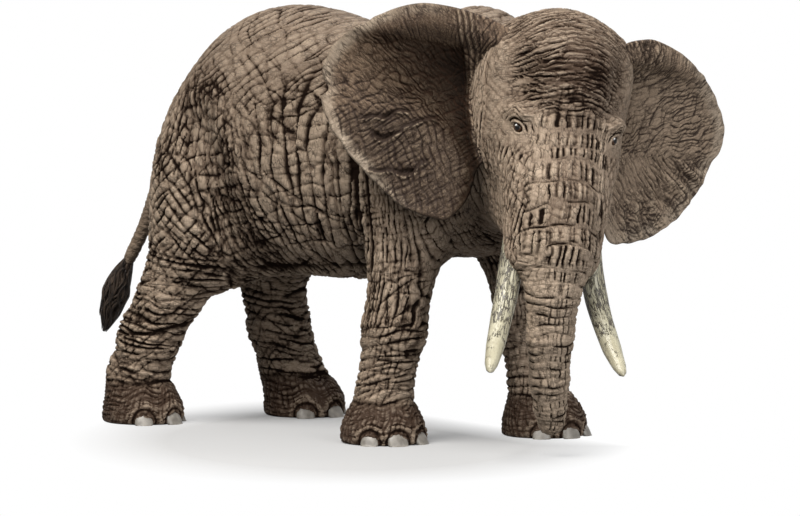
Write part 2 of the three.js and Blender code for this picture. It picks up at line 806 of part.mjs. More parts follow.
function makeTorso() {
  const margin = 2 * torsoCell;
  const low = [rumpX - margin, -torsoWidth / 2 - margin, bellyHeight - 2 * margin];
  const high = [chestX + neckLength / 2, torsoWidth / 2 + margin, backHeight + margin];
  let torso = skin(bodyField, low, high, torsoCell)
    .intersect(block([reach, reach, reach], -jointGap, neckSeam))
    .subtract(post(neckPegWidth + 2 * jointGap, neckPegLength + jointGap, 0, neckSeam));
  for (const leg of Object.values(legs))
    torso = torso
      .subtract(legRegion(leg, legMargin + jointGap, jointGap))
      .subtract(post(legPegWidth + 2 * jointGap, jointGap, legPegLength + jointGap, legSeam(leg)));
  return torso.subtract(tube(tailCurve, (share) => tailWidthAt(share) + 2 * jointGap, jointGap));
}

function makeLeg(leg) {
  const [low, high] = boundsOf(legBalls(leg).slice(1), 2 * legCell);
  const ground = new THREE.Matrix4();
  return skin(bodyField, low, high, legCell)
    .intersect(legRegion(leg, legMargin, 0))
    .subtract(block([reach, reach, reach], 0, ground))
    .add(post(legPegWidth, legPegLength, legPegLength, legSeam(leg)));
}

/** The head's skin, with nothing cut out of it, behind the neck's seam too. */
function headSkin(field) {
  const [trunkLow] = boundsOf(trunkBalls, 2 * headCell);
  const low = [-neckLength, -neckLength, trunkLow[2]];
  const high = [trunkForward + trunkRootWidth, neckLength, headHeight / 2 + 2 * headCell];
  return skin(field, low, high, headCell);
}

function makeHead() {
  const seam = headPose.clone().invert().multiply(neckSeam);
  let head = headSkin(headField)
    .subtract(block([reach, reach, reach], 0, seam))
    .add(post(neckPegWidth, neckPegLength, neckPegLength, seam));
  for (const side of [1, -1])
    head = head
      .subtract(earTongue(side, jointGap))
      .subtract(tube(tuskCurve(side), (share) => tuskWidthAt(share) + 2 * jointGap, jointGap));
  return head;
}

function makeEar(side, grownSkin) {
  return earSheet(side).subtract(grownSkin).add(earTongue(side, 0));
}

// Assembly

function piece(name, solid, [color, roughness]) {
  const material = new THREE.MeshStandardMaterial({ color, roughness, metalness: 0 });
  const mesh = new THREE.Mesh(geometryOf(solid), material);
  mesh.name = name;
  return mesh;
}

const greyBrown = [0x7a6e60, 0.75];
const earBrown = [0x6b5d50, 0.75];
const ivory = [0xcdc4ab, 0.45];

const headGroup = new THREE.Group();
headPose.decompose(headGroup.position, headGroup.quaternion, headGroup.scale);
const grownSkin = headSkin((x, y, z) => {
  const body = new THREE.Vector3(x, y, z).applyMatrix4(headPose);
  return Math.min(headField(x, y, z), bodyField(body.x, body.y, body.z)) - jointGap;
});
headGroup.add(
  piece('head', makeHead(), greyBrown),
  piece('right_ear', makeEar(-1, grownSkin), earBrown),
  piece('left_ear', makeEar(1, grownSkin), earBrown),
  piece('right_tusk', tube(tuskCurve(-1), tuskWidthAt), ivory),
  piece('left_tusk', tube(tuskCurve(1), tuskWidthAt), ivory),
);

const elephant = new THREE.Group();
elephant.add(
  piece('torso', makeTorso(), greyBrown),
  headGroup,
  piece('tail', tube(tailCurve, tailWidthAt), greyBrown),
);
for (const [name, leg] of Object.entries(legs)) elephant.add(piece(name, makeLeg(leg), greyBrown));

// The origin is under the middle of the figure, on the ground
elephant.updateMatrixWorld(true);
const middle = new THREE.Box3().setFromObject(elephant, true).getCenter(new THREE.Vector3());
elephant.position.set(-middle.x, -middle.y, 0);

export default elephant;
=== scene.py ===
"""Looks of a walking African elephant figure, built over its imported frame.

Lengths are in millimetres in the figure's own design frame (+X towards the chest, +Y to its left,
+Z up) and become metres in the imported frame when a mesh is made.
"""

import itertools
import math

import bpy
import numpy as np
from mathutils import Euler, Matrix, Vector


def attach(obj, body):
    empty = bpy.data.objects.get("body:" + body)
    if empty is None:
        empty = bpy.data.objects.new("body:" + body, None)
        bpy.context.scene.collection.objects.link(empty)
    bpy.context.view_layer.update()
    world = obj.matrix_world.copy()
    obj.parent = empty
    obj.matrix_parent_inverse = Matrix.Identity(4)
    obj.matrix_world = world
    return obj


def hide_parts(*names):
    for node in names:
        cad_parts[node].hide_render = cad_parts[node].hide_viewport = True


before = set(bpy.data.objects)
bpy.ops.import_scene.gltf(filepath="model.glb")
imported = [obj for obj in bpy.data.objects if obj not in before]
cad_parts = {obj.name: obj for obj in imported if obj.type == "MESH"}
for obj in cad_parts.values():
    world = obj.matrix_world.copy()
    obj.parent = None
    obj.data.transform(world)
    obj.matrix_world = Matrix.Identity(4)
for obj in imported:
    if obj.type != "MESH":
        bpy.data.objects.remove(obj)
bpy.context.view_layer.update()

METRES = 0.001
FRAME_SHIFT = np.array([4.85, 1.49, 0.0])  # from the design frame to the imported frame

# The figure's sizes, as in its solids
torso_length, torso_width, torso_depth, belly_height = 88, 46, 57, 29
stance_width, hip_spread, shoulder_spread = 31, 20, 24
torso_blend, limb_blend, leg_blend, hollow_blend = 9, 5, 2, 3
fore_leg_height, hind_leg_height = 54, 50
shoulder_girth, thigh_girth, fore_leg_girth, hind_leg_girth = 21, 26, 13, 12.6
fore_foot_width, hind_foot_width, foot_ball_height, toe_reach = 16.2, 15.4, 2, 1.4
head_length, head_width, head_height, head_blend = 30, 31, 50, 5
head_origin = np.array([45.4, -8.0, 66.0])
head_turns = (-8.5, 0.0, -36.0)  # roll, pitch and yaw in degrees
neck_length, neck_width, neck_depth, neck_yaw = 30, 23, 40, -16
neck_seam_at = np.array([25.7, -3.36, 62.67])
trunk_length, trunk_root_width, trunk_forward, trunk_lean, trunk_blend = 58, 19, 16, 5.4, 1.2
sheath_width, sheath_spread, sheath_length = 11, 11.6, 17
ear_width, ear_height, ear_thickness, ear_rim_thickness = 37, 42.8, 1.9, 1.3
ear_cup, ear_curl, ear_hollow, ear_roll = 4, 3.5, 3.5, 1.8
ear_sweeps, ear_tilt = {-1: 26, 1: 33}, -2
tusk_length, tusk_width, tusk_spread, tusk_lean = 42, 5, 19.6, 1
tail_length, tail_width, tuft_width = 50, 3.2, 5.6
rump_x = -0.7 * torso_length
leg_seam_tilt, leg_margin = 10, 6

# Random numbers that are the same in every run
LATTICE = 16
dice = np.random.default_rng(11)
SPOTS = dice.random((LATTICE ** 3, 3))


# Implicit shapes: functions of points that give distances to a surface, negative inside

def join(a, b, blend):
    near = np.maximum(blend - np.abs(a - b), 0) / blend
    return np.minimum(a, b) - near * near * blend / 4


def carve(a, hole, blend):
    return -join(-a, hole, blend)


def join_all(fields, blend):
    def field(points):
        total = fields[0](points)
        for other in fields[1:]:
            total = join(total, other(points), blend)
        return total
    return field


def ellipsoid(centre, radii):
    centre, radii = np.array(centre, float), np.array(radii, float)

    def field(points):
        scaled = (points - centre) / radii
        level = np.linalg.norm(scaled, axis=1)
        slope = np.linalg.norm(scaled / radii, axis=1)
        return level * (level - 1) / np.maximum(slope, 1e-9)
    return field


def bone(a, b, radius_a, radius_b):
    a, b = np.array(a, float), np.array(b, float)
    along = b - a

    def field(points):
        off = points - a
        share = np.clip(off @ along / (along @ along), 0, 1)
        radius = radius_a + share * (radius_b - radius_a)
        return np.linalg.norm(off - share[:, None] * along, axis=1) - radius
    return field


def chain(balls, blend):
    return join_all([bone(a, b, ra, rb) for (a, ra), (b, rb) in zip(balls, balls[1:])], blend)


def masses(rows, size, origin):
    length, width, depth = size
    made = []
    for along, side, up, half_length, half_width, half_depth in rows:
        for offset in ([0] if side == 0 else [side, -side]):
            centre = origin + np.array([along * length, offset * width, up * depth])
            made.append(ellipsoid(centre, (half_length * length, half_width * width, half_depth * depth)))
    return made


# Shares of the torso's length, width and depth: the middle of each ellipsoid, then its half sizes
TORSO_MASSES = [
    (0.396, 0, 0.575, 0.275, 0.435, 0.42),
    (0.262, 0.217, 0.333, 0.165, 0.283, 0.351),
    (0.541, 0, 0.49, 0.432, 0.5, 0.454),
    (0.93, 0, 0.605, 0.193, 0.33, 0.44),
    (0.848, 0.261, 0.52, 0.136, 0.207, 0.32),
    (0.905, 0, 0.47, 0.136, 0.3, 0.2),
]
# The upper and lower end of each furrow, how far it is from the middle, and its width, as such shares
TORSO_HOLLOWS = [
    ((0.26, 0.6), (0.39, 0.1), 0.6, 0.18),
    ((0.765, 0.52), (0.755, 0.05), 0.523, 0.05),
]


def torso_hollows():
    """The furrows in each flank: in front of the thigh and behind the shoulder."""
    made = []
    for high, low, aside, width in TORSO_HOLLOWS:
        for side in (1, -1):
            y = side * aside * torso_width
            ends = [(rump_x + along * torso_length, y, belly_height + up * torso_depth)
                    for along, up in (high, low)]
            made.append(bone(*ends, width * torso_width, width * torso_width))
    return made


torso_skin_field = join_all(
    masses(TORSO_MASSES, (torso_length, torso_width, torso_depth), np.array([rump_x, 0, belly_height])),
    torso_blend,
)


def torso_field(points):
    total = torso_skin_field(points)
    for furrow in torso_hollows():
        total = carve(total, furrow(points), hollow_blend)
    return total


neck_field = ellipsoid(neck_seam_at, (neck_length / 2, neck_width / 2, neck_depth / 2))

# A leg's joint with the torso along its length, its heights and girths below that, and where it is cut
FORE = dict(
    joint=0.86, joint_y=shoulder_spread / 2, joint_girth=shoulder_girth, seam=0.63, fore=True,
    height=fore_leg_height, girth=fore_leg_girth, foot=fore_foot_width,
    heights=(0.68, 0.43, 0.19), girths=(1.04, 0.99, 0.85),
)
HIND = dict(
    joint=0.268, joint_y=hip_spread / 2, joint_girth=thigh_girth, seam=0.56, fore=False,
    height=hind_leg_height, girth=hind_leg_girth, foot=hind_foot_width,
    heights=(0.54, 0.36, 0.18), girths=(1.04, 1, 0.98),
)
LEGS = {
    "right_fore_leg": dict(FORE, side=-1, stride=-6.6, strides=(0, 0.32, 0.52, 0.92, 1)),
    "left_fore_leg": dict(FORE, side=1, stride=10.8, strides=(0.1, 0.45, 0.65, 0.85, 1)),
    "right_hind_leg": dict(HIND, side=-1, stride=-17.2, strides=(0, 0.56, 0.87, 1.06, 1)),
    "left_hind_leg": dict(HIND, side=1, stride=-7, strides=(0, 1, 0.82, 0.36, -0.08)),
}


def leg_balls(leg):
    joint_x = rump_x + leg["joint"] * torso_length
    heights = [leg["height"], *(share * leg["height"] for share in leg["heights"]), foot_ball_height]
    widths = [leg["joint_girth"], *(share * leg["girth"] for share in leg["girths"]), leg["foot"]]
    balls = []
    for z, width, stride in zip(heights, widths, leg["strides"]):
        spread = max(2 * z / leg["height"] - 1, 0)
        y = leg["side"] * (stance_width / 2 + spread * (leg["joint_y"] - stance_width / 2))
        balls.append(((joint_x + leg["stride"] * stride, y, z), width / 2))
    return balls


def leg_field(leg):
    balls = leg_balls(leg)
    heel, radius = balls[-1]
    toe = (heel[0] + toe_reach, heel[1], heel[2])
    return join_all([chain(balls, leg_blend), bone(heel, toe, radius, radius - toe_reach / 4)], leg_blend)


for leg in LEGS.values():
    leg["balls"] = leg_balls(leg)
    leg["field"] = leg_field(leg)


def front_field(points):
    return join(torso_field(points), neck_field(points), torso_blend)


def body_field(points):
    total = front_field(points)
    for leg in LEGS.values():
        total = join(total, leg["field"](points), limb_blend)
    return total


# Head, in its own frame

HEAD_TURN = np.array(Euler([math.radians(turn) for turn in head_turns], "XYZ").to_matrix())


def to_head(points):
    return (points - head_origin) @ HEAD_TURN


def from_head(points):
    return points @ HEAD_TURN.T + head_origin


# As for the torso, with the head's sizes
HEAD_MASSES = [
    (-0.05, 0, 0.22, 0.48, 0.465, 0.26),
    (0.2, 0, 0.08, 0.29, 0.28, 0.28),
    (0.13, 0.27, -0.04, 0.21, 0.16, 0.14),
    (-0.06, 0.37, 0.1, 0.12, 0.11, 0.26),
    (0, 0.165, -0.18, 0.3, 0.17, 0.26),
    (0.067, 0, -0.4, 0.267, 0.21, 0.16),
]
# How far down, how far forward, how far to the left and how wide the trunk is, as shares of its sizes
TRUNK_STATIONS = [
    (0.05, 0.5, 0, 0.82),
    (0.24, 0.76, 0, 0.86),
    (0.41, 0.97, 0, 0.74),
    (0.55, 1, 0.03, 0.59),
    (0.71, 0.95, 0.2, 0.5),
    (0.86, 0.84, 0.52, 0.42),
    (0.95, 0.74, 0.78, 0.35),
    (1.01, 0.64, 1, 0.3),
]
TRUNK_BALLS = [
    ((forward * trunk_forward, left * trunk_lean, -down * trunk_length), width * trunk_root_width / 2)
    for down, forward, left, width in TRUNK_STATIONS
]
sheath_top = -0.16 * head_height
SHEATHS = [
    bone(
        (0.5 * trunk_forward, side * sheath_spread / 2, sheath_top),
        (0.72 * trunk_forward, side * sheath_spread / 2, sheath_top - sheath_length),
        sheath_width / 2,
        0.37 * sheath_width,
    )
    for side in (1, -1)
]
skull_field = join_all(
    masses(HEAD_MASSES, (head_length, head_width, head_height), np.zeros(3)) + SHEATHS, head_blend
)
trunk_field = chain(TRUNK_BALLS, trunk_blend)
TEMPLES = [
    ellipsoid((0.37 * head_length, side * 0.4 * head_width, 0.2 * head_height),
              (0.19 * head_length, 0.14 * head_width, 0.15 * head_height))
    for side in (1, -1)
]
BROWS = [
    ellipsoid((0.28 * head_length, side * 0.3 * head_width, 0.05 * head_height),
              (0.14 * head_length, 0.1 * head_width, 0.04 * head_height))
    for side in (1, -1)
]


def head_field(points):
    local = to_head(points)
    skull = skull_field(local)
    for temple in TEMPLES:
        skull = carve(skull, temple(local), hollow_blend)
    for brow in BROWS:
        skull = join(skull, brow(local), 2)
    skull = join(skull, trunk_field(local), head_blend)
    return join(skull, front_field(points), torso_blend)


def whole_field(points):
    return join(head_field(points), body_field(points), limb_blend)


# Random patterns

def spot_index(cells):
    wrapped = cells & (LATTICE - 1)
    return (wrapped[:, 0] * LATTICE + wrapped[:, 1]) * LATTICE + wrapped[:, 2]


def drift(points):
    """Smooth random vectors, each part between -1 and 1, that change over about one unit."""
    base = np.floor(points).astype(int)
    t = points - base
    t = t * t * (3 - 2 * t)
    total = np.zeros((len(points), 3))
    for step in itertools.product((0, 1), repeat=3):
        weight = np.prod(np.where(step, t, 1 - t), axis=1)
        total += weight[:, None] * SPOTS[spot_index(base + np.array(step))]
    return 2 * total - 1


def walls(points):
    """For random cells about one unit wide: how far inside its cell each point is, 0 at a wall, and the
    direction in which that grows."""
    base = np.floor(points).astype(int)
    count = len(points)
    first, second = np.full(count, 9.0), np.full(count, 9.0)
    near, next_near = np.zeros((count, 3)), np.zeros((count, 3))
    for step in itertools.product((-1, 0, 1), repeat=3):
        cell = base + np.array(step)
        off = points - cell - SPOTS[spot_index(cell)]
        far = np.einsum("ij,ij->i", off, off)
        closer = far < first
        next_near[closer] = near[closer]
        second[closer] = first[closer]
        near[closer] = off[closer]
        first[closer] = far[closer]
        between = ~closer & (far < second)
        next_near[between] = off[between]
        second[between] = far[between]
    first, second = np.sqrt(first), np.sqrt(second)
    slope = next_near / np.maximum(second, 1e-6)[:, None] - near / np.maximum(first, 1e-6)[:, None]
    return second - first, slope


def smooth(low, high, value):
    """0 below low and 1 above high, or the other way round where high is lower."""
    share = np.clip((value - low) / (high - low), 0, 1)
    return share * share * (3 - 2 * share)


def patch(flat, centre, radii, soft=0.35):
    """1 inside an ellipse of a flat place and 0 outside it, with a soft edge."""
    level = np.hypot((flat[0] - centre[0]) / radii[0], (flat[1] - centre[1]) / radii[1])
    return smooth(1 + soft, 1 - soft, level)


class Relief:
    """What the wrinkles do to a set of points: how deep each lies and how dark its paint is."""

    def __init__(self, count):
        self.lift = np.zeros(count)
        self.groove = np.zeros(count)
        self.level = np.zeros(count)  # 1 where the finest lines run level, 0 where they run upright
        self.stain_and_shade = np.zeros(count)

    def folds(self, place, mask, turn, spacing, length, depth, width=0.3, pillow=0.3, seed=0, sway=0.35,
              ends=0.25, dark=None):
        """Creases that run `turn` degrees up from the place's first axis towards its third.

        They are spacing apart and width wide, and each is about length long. Pillow is how much the skin
        between them swells, sway how much they wander, ends how much is left of them where they stop, and
        dark how dark their paint is, by their depth if it isn't given.
        """
        near = np.flatnonzero(mask > 0.02)
        if not len(near):
            return
        x, y, z = place[near].T
        turn = math.radians(turn)
        along, across = math.cos(turn) * x + math.sin(turn) * z, math.cos(turn) * z - math.sin(turn) * x
        sizes = np.array([length, max(length, 2 * spacing), spacing])
        cells = np.stack([along, y, across], axis=1) / sizes
        cells += sway * drift(place[near] / (2.2 * spacing) + seed) + 7.3 * seed
        inner, slope = walls(cells)
        distance = inner / np.linalg.norm(slope / sizes, axis=1)
        square = slope ** 2
        side_wall = square[:, 2] / square.sum(axis=1)
        firm = np.minimum(1.5 * mask[near], 1)
        share = firm * (0.9 + 0.6 * drift(place[near] / 5 + 3.1 * seed)[:, 0])
        share = np.clip(share, 0, 1.3) * (ends + (1 - ends) * side_wall)
        groove = np.exp(-((distance / width) ** 1.5))
        bulge = np.minimum(distance / (0.35 * spacing), 1)
        self.lift[near] += depth * (mask[near] * pillow * (bulge - 0.5) - share * groove)
        dark = min(1, depth / 0.45) if dark is None else dark
        self.groove[near] = 1 - (1 - self.groove[near]) * (1 - np.clip(share, 0, 1) * groove * dark)

    def fold_rows(self, share, rows):
        """Creases from rows of a place, a mask and the numbers of `folds` in its order."""
        for place, mask, *numbers in rows:
            self.folds(place, share * mask, *numbers)

    def darken(self, share):
        """A share of dark paint over what is there."""
        self.groove = 1 - (1 - self.groove) * (1 - share)

    def stroke(self, flat, mask, path, width, depth, dark=0.8):
        """One furrow (or, with a negative depth, one ridge) along a path on a flat place."""
        path = smooth_path(np.array(path, float), 10)
        best = np.full(len(mask), 1e9)
        for a, b in zip(path, path[1:]):
            along = b - a
            off = flat - a
            share = np.clip(off @ along / (along @ along), 0, 1)
            best = np.minimum(best, np.linalg.norm(off - share[:, None] * along, axis=1))
        shape = mask * np.exp(-((best / width) ** 2))
        self.lift -= depth * shape
        if depth > 0:
            self.darken(dark * shape)


def smooth_path(points, pieces):
    """A Catmull-Rom path through the points, with this many pieces between neighbours."""
    ends = np.vstack([2 * points[0] - points[1], points, 2 * points[-1] - points[-2]])
    shares = np.arange(pieces)[:, None] / pieces
    parts = []
    for a, b, c, d in zip(ends, ends[1:], ends[2:], ends[3:]):
        parts.append(0.5 * (2 * b + (c - a) * shares + (2 * a - 5 * b + 4 * c - d) * shares ** 2
                            + (3 * b - a - 3 * c + d) * shares ** 3))
    return np.vstack([*parts, points[-1:]])


def arc_lengths(path):
    """How far along a path each of its points is."""
    return np.concatenate([[0], np.cumsum(np.linalg.norm(np.diff(path, axis=0), axis=1))])


def at_lengths(path, lengths, at):
    return np.stack([np.interp(at, lengths, places) for places in path.T], axis=1)


# Meshes as points and quads

def surface_net(field, low, high, cell):
    """A net of quads over a field's surface in a box."""
    low, high = np.array(low, float), np.array(high, float)
    count = np.ceil((high - low) / cell).astype(int) + 1
    grid = np.stack(np.meshgrid(*(np.arange(n) for n in count), indexing="ij"), axis=-1).reshape(-1, 3)
    value = field(low + grid * cell).reshape(count)

    corners = np.array(list(itertools.product((0, 1), repeat=3)))
    boxes = count - 1

    def at_corner(corner):
        return value[tuple(slice(c, c + n) for c, n in zip(corner, boxes))]

    total = np.zeros((*boxes, 3))
    hits = np.zeros(boxes)
    for a, b in itertools.combinations(corners, 2):
        if np.abs(a - b).sum() != 1:
            continue
        va, vb = at_corner(a), at_corner(b)
        crossed = (va < 0) != (vb < 0)
        share = np.zeros(boxes)
        share[crossed] = va[crossed] / (va[crossed] - vb[crossed])
        total += crossed[..., None] * (a + share[..., None] * (b - a))
        hits += crossed
    used = hits > 0
    index = np.full(boxes, -1)
    index[used] = np.arange(used.sum())
    points = low + (np.argwhere(used) + total[used] / hits[used][:, None]) * cell

    quads = []
    inside = value < 0
    for axis in range(3):
        step = np.eye(3, dtype=int)[axis]
        u, v = np.eye(3, dtype=int)[[(axis + 1) % 3, (axis + 2) % 3]]
        here = np.argwhere(inside[tuple(slice(0, n - s) for n, s in zip(count, step))]
                           != inside[tuple(slice(s, n) for n, s in zip(count, step))])
        here = here[((here - u - v) >= 0).all(axis=1) & (here < boxes).all(axis=1)]
        ring = np.stack([index[tuple((here - off).T)] for off in (u + v, v, 0 * u, u)], axis=1)
        outward = inside[tuple(here.T)]
        quads.append(np.where(outward[:, None], ring, ring[:, ::-1]))
    return points, np.vstack(quads)


def compact(points, faces):
    used, inverse = np.unique(faces, return_inverse=True)
    return points[used], inverse.reshape(faces.shape)


def refine(points, quads):
    """Each quad becomes four."""
    count = len(points)
    ends = np.stack([quads, np.roll(quads, -1, axis=1)], axis=-1)
    keys = ends.min(axis=-1).astype(np.int64) * count + ends.max(axis=-1)
    unique, inverse = np.unique(keys, return_inverse=True)
    middles = inverse.reshape(quads.shape) + count
    centres = np.arange(len(quads)) + count + len(unique)
    a, b = unique // count, unique % count
    grown = np.vstack([points, (points[a] + points[b]) / 2, points[quads].mean(axis=1)])
    parts = [np.stack([quads[:, n], middles[:, n], centres, middles[:, n - 1]], axis=1) for n in range(4)]
    return grown, np.vstack(parts)


def gradient(field, points, probe=0.05):
    level = field(points)
    slope = np.stack([(field(points + probe * axis) - level) / probe for axis in np.eye(3)], axis=1)
    return level, slope


def settle(field, points, steps=1, planes=None):
    """Points moved onto the field's surface, and within a plane where planes gives its normals."""
    for _ in range(steps):
        level, slope = gradient(field, points)
        if planes is not None:
            slope = slope - np.einsum("ij,ij->i", slope, planes)[:, None] * planes
        square = np.maximum(np.einsum("ij,ij->i", slope, slope), 1e-3)
        points = points - np.clip(level / square, -1, 1)[:, None] * slope
    return points


def open_edges(quads):
    """The edges that only one face has, in that face's direction."""
    ends = np.stack([quads, np.roll(quads, -1, axis=1)], axis=-1).reshape(-1, 2)
    keys = ends.min(axis=1).astype(np.int64) * (quads.max() + 1) + ends.max(axis=1)
    _, index, count = np.unique(keys, return_index=True, return_counts=True)
    return ends[index[count == 1]]


# Seams between the pieces

def turned(degrees, axis):
    return np.array(Matrix.Rotation(math.radians(degrees), 3, axis))


def leg_seam(leg):
    balls = leg["balls"]
    z = leg["seam"] * leg["height"]
    heights = [ball[0][2] for ball in balls][::-1]
    at = [np.interp(z, heights, [ball[0][axis] for ball in balls][::-1]) for axis in (0, 1)]
    return np.array([*at, z]), turned(leg["side"] * leg_seam_tilt, "X") @ np.array([0, 0, 1.0])


SEAMS = {name: leg_seam(leg) for name, leg in LEGS.items()}
SEAMS["neck"] = (neck_seam_at, turned(neck_yaw, "Z") @ np.array([1.0, 0, 0]))


def past_seam(points, name):
    """How far points are past a seam, along its normal."""
    at, normal = SEAMS[name]
    return (points - at) @ normal


def seam_miss(points, name):
    """How far points are from a seam: off its plane, and a little for lying far along it."""
    at, _ = SEAMS[name]
    return np.abs(past_seam(points, name)) + 0.2 * np.linalg.norm(points - at, axis=1)


# Wrinkles of the skin

trunk_heights = np.array([ball[0][2] for ball in TRUNK_BALLS])[::-1]
trunk_xs = np.array([ball[0][0] for ball in TRUNK_BALLS])[::-1]
trunk_ys = np.array([ball[0][1] for ball in TRUNK_BALLS])[::-1]
EYES = {-1: np.array([10.0, -10.1, -0.4]), 1: np.array([10.5, 9.4, -0.6])}


def body_regions(points):
    """The torso's kinds of skin, each a share of 1 at each point."""
    x, y, z = points.T
    flat = (x, z)
    hip_line = smooth(8.5, 4, np.abs(x + 35 - 0.3 * (66 - z))) * smooth(30, 38, z) * smooth(76, 66, z)
    flank = patch(flat, (-8, 50), (15, 22))
    scratched = patch(flat, (-23, 47), (7, 16)) * (1 - flank)
    hollow = hip_line * (1 - flank)
    thigh = patch(flat, (-48, 38), (18, 19)) * (1 - hollow)
    shoulder = patch(flat, (17, 44), (12, 19))
    back = smooth(64, 74, z)
    rump = smooth(-22, -32, x) * smooth(48, 58, z) * (1 - back) * (1 - hollow)
    belly = smooth(36, 31, z)
    rest = np.clip(1 - flank - scratched - hollow - thigh - shoulder - back - rump, 0, 1)
    return flank, scratched, hollow, thigh, shoulder, back, rump, belly, rest


def body_relief(points, relief, share):
    """Wrinkles of the torso and neck, where share isn't zero."""
    x, y, z = points.T
    legs_below = smooth(40, 32, z) * (np.minimum.reduce([leg["field"](points) for leg in LEGS.values()]) < 3)
    share = share * (1 - 0.9 * legs_below)
    flank, scratched, hollow, thigh, shoulder, back, rump, belly, rest = body_regions(points)
    fan = np.stack([48 * np.arctan2(x + 8, z), y, np.hypot(x + 8, z)], axis=1)
    relief.fold_rows(share, [
        (points, back, 38, 1.7, 12, 0.32, 0.27, 0.15, 1),
        (points, back, -36, 2.3, 7, 0.26, 0.26, 0.15, 2),
        (points, rump, 78, 1.5, 5, 0.55, 0.36, 0.3, 3),
        (points, rump, -35, 2.6, 5, 0.3, 0.3, 0.3, 4),
        (points, hollow, -78, 1.5, 5, 0.62, 0.38, 0.3, 5),
        (points, hollow, 24, 2.8, 4, 0.34, 0.3, 0.3, 15),
        (fan, flank, 90, 2.5, 15, 0.62, 0.36, 0.5, 6),
        (points, flank, 6, 2.7, 6, 0.32, 0.28, 0.3, 7),
        (points, flank, -44, 4.4, 7, 0.3, 0.28, 0.3, 16),
        (points, scratched, -66, 1.3, 4.5, 0.3, 0.28, 0.3, 8),
        (points, scratched, 10, 2.6, 5, 0.2, 0.26, 0.3, 17),
        (points, thigh, 42, 1.9, 7, 0.42, 0.28, 0.35, 9),
        (points, thigh, -46, 2.0, 7, 0.42, 0.28, 0.35, 10),
        (points, shoulder, 88, 1.15, 9, 0.36, 0.28, 0.3, 11),
        (points, shoulder, 14, 2.0, 4, 0.26, 0.28, 0.3, 12),
        (points, belly, -68, 1.25, 4, 0.36, 0.28, 0.3, 18),
        (points, rest, -38, 1.6, 5, 0.26, 0.28, 0.3, 13),
        (points, rest, 50, 1.8, 5, 0.26, 0.28, 0.3, 14),
    ])
    relief.level += share * (
        0.5 * back + 0.15 * rump + 0.3 * flank + 0.5 * thigh + 0.3 * scratched + 0.5 * rest
    )
    # Darker paint on the back, and in the hip hollow as painted shade
    relief.stain_and_shade += share * (0.3 * hollow + 0.3 * back)
    side = np.stack([x, z], axis=1)
    for sign in (-1, 1):
        mask = share * smooth(3, 9, sign * y)
        for path, width, depth, dark in BODY_STROKES:
            relief.stroke(side, mask, path, width, depth, dark)


# Seen from the side: the furrows and the ridge behind the shoulder, and the belly's edge with its furrow,
# with their width, depth and darkness
BODY_STROKES = [
    ([(4.5, 62), (5.4, 52), (5.3, 42), (4.6, 33)], 0.8, 0.9, 1),
    ([(6.9, 60), (7.4, 50), (7.0, 42), (6.4, 34)], 0.6, -0.6, 0),
    ([(8.8, 59), (9.2, 50), (8.9, 42), (8.4, 34)], 0.4, 0.5, 0.9),
    ([(-28, 31), (-16, 32.5), (-4, 33.5), (6, 34.5)], 0.7, -0.45, 0),
    ([(-27, 33), (-16, 34.2), (-4, 35.1), (5, 35.6)], 0.5, 0.25, 0.4),
]


def leg_relief(points, relief, share):
    """Wrinkles of the legs, where share isn't zero."""
    for n, leg in enumerate(LEGS.values()):
        mask = share * smooth(40, 32, points[:, 2]) * (leg["field"](points) < 3)
        if mask.max() <= 0.01:
            continue
        centres = np.array([ball[0] for ball in leg["balls"]])[::-1]
        z = points[:, 2]
        x = points[:, 0] - np.interp(z, centres[:, 2], centres[:, 0])
        y = points[:, 1] - np.interp(z, centres[:, 2], centres[:, 1])
        place = np.stack([x, y, z], axis=1)
        foot = smooth(10, 7, z)
        seed = 20 + 6 * n
        if leg["fore"]:
            lower = smooth(27, 21, z)
            upper = mask * (1 - lower)
            ringed = mask * lower * (1 - foot)
            rows = [
                (place, upper, 88, 1.15, 9, 0.36, 0.28, 0.3, seed),
                (place, upper, 14, 2.0, 4, 0.28, 0.28, 0.3, seed + 1),
                (place, upper, 52, 3.4, 7, 0.26, 0.27, 0.3, seed + 5),
                (place, ringed, 10, 1.75, 8, 0.4, 0.29, 0.4, seed + 2),
                (place, ringed, 82, 1.3, 3, 0.28, 0.27, 0.3, seed + 3),
            ]
        else:
            ringed = mask * (1 - foot)
            rows = [
                (place, ringed, -8, 1.7, 13, 0.42, 0.28, 0.35, seed, 0.35, 0.1),
                (place, ringed * patchy(points, seed), -6, 4.6, 12, 0.6, 0.42, 0.3, seed + 3, 0.35, 0.1),
                (place, ringed, 50, 1.8, 5, 0.24, 0.26, 0.1, seed + 1),
                (place, ringed, -56, 2.0, 5, 0.24, 0.26, 0.1, seed + 2),
            ]
        relief.fold_rows(1, rows)
        relief.level += 0.6 * ringed
        foot_relief(points, relief, mask * foot, leg, seed)


def patchy(points, seed):
    """Between 0 and 1, in soft patches."""
    return np.clip(0.5 + 1.1 * drift(points / 4.5 + seed)[:, 0], 0, 1)


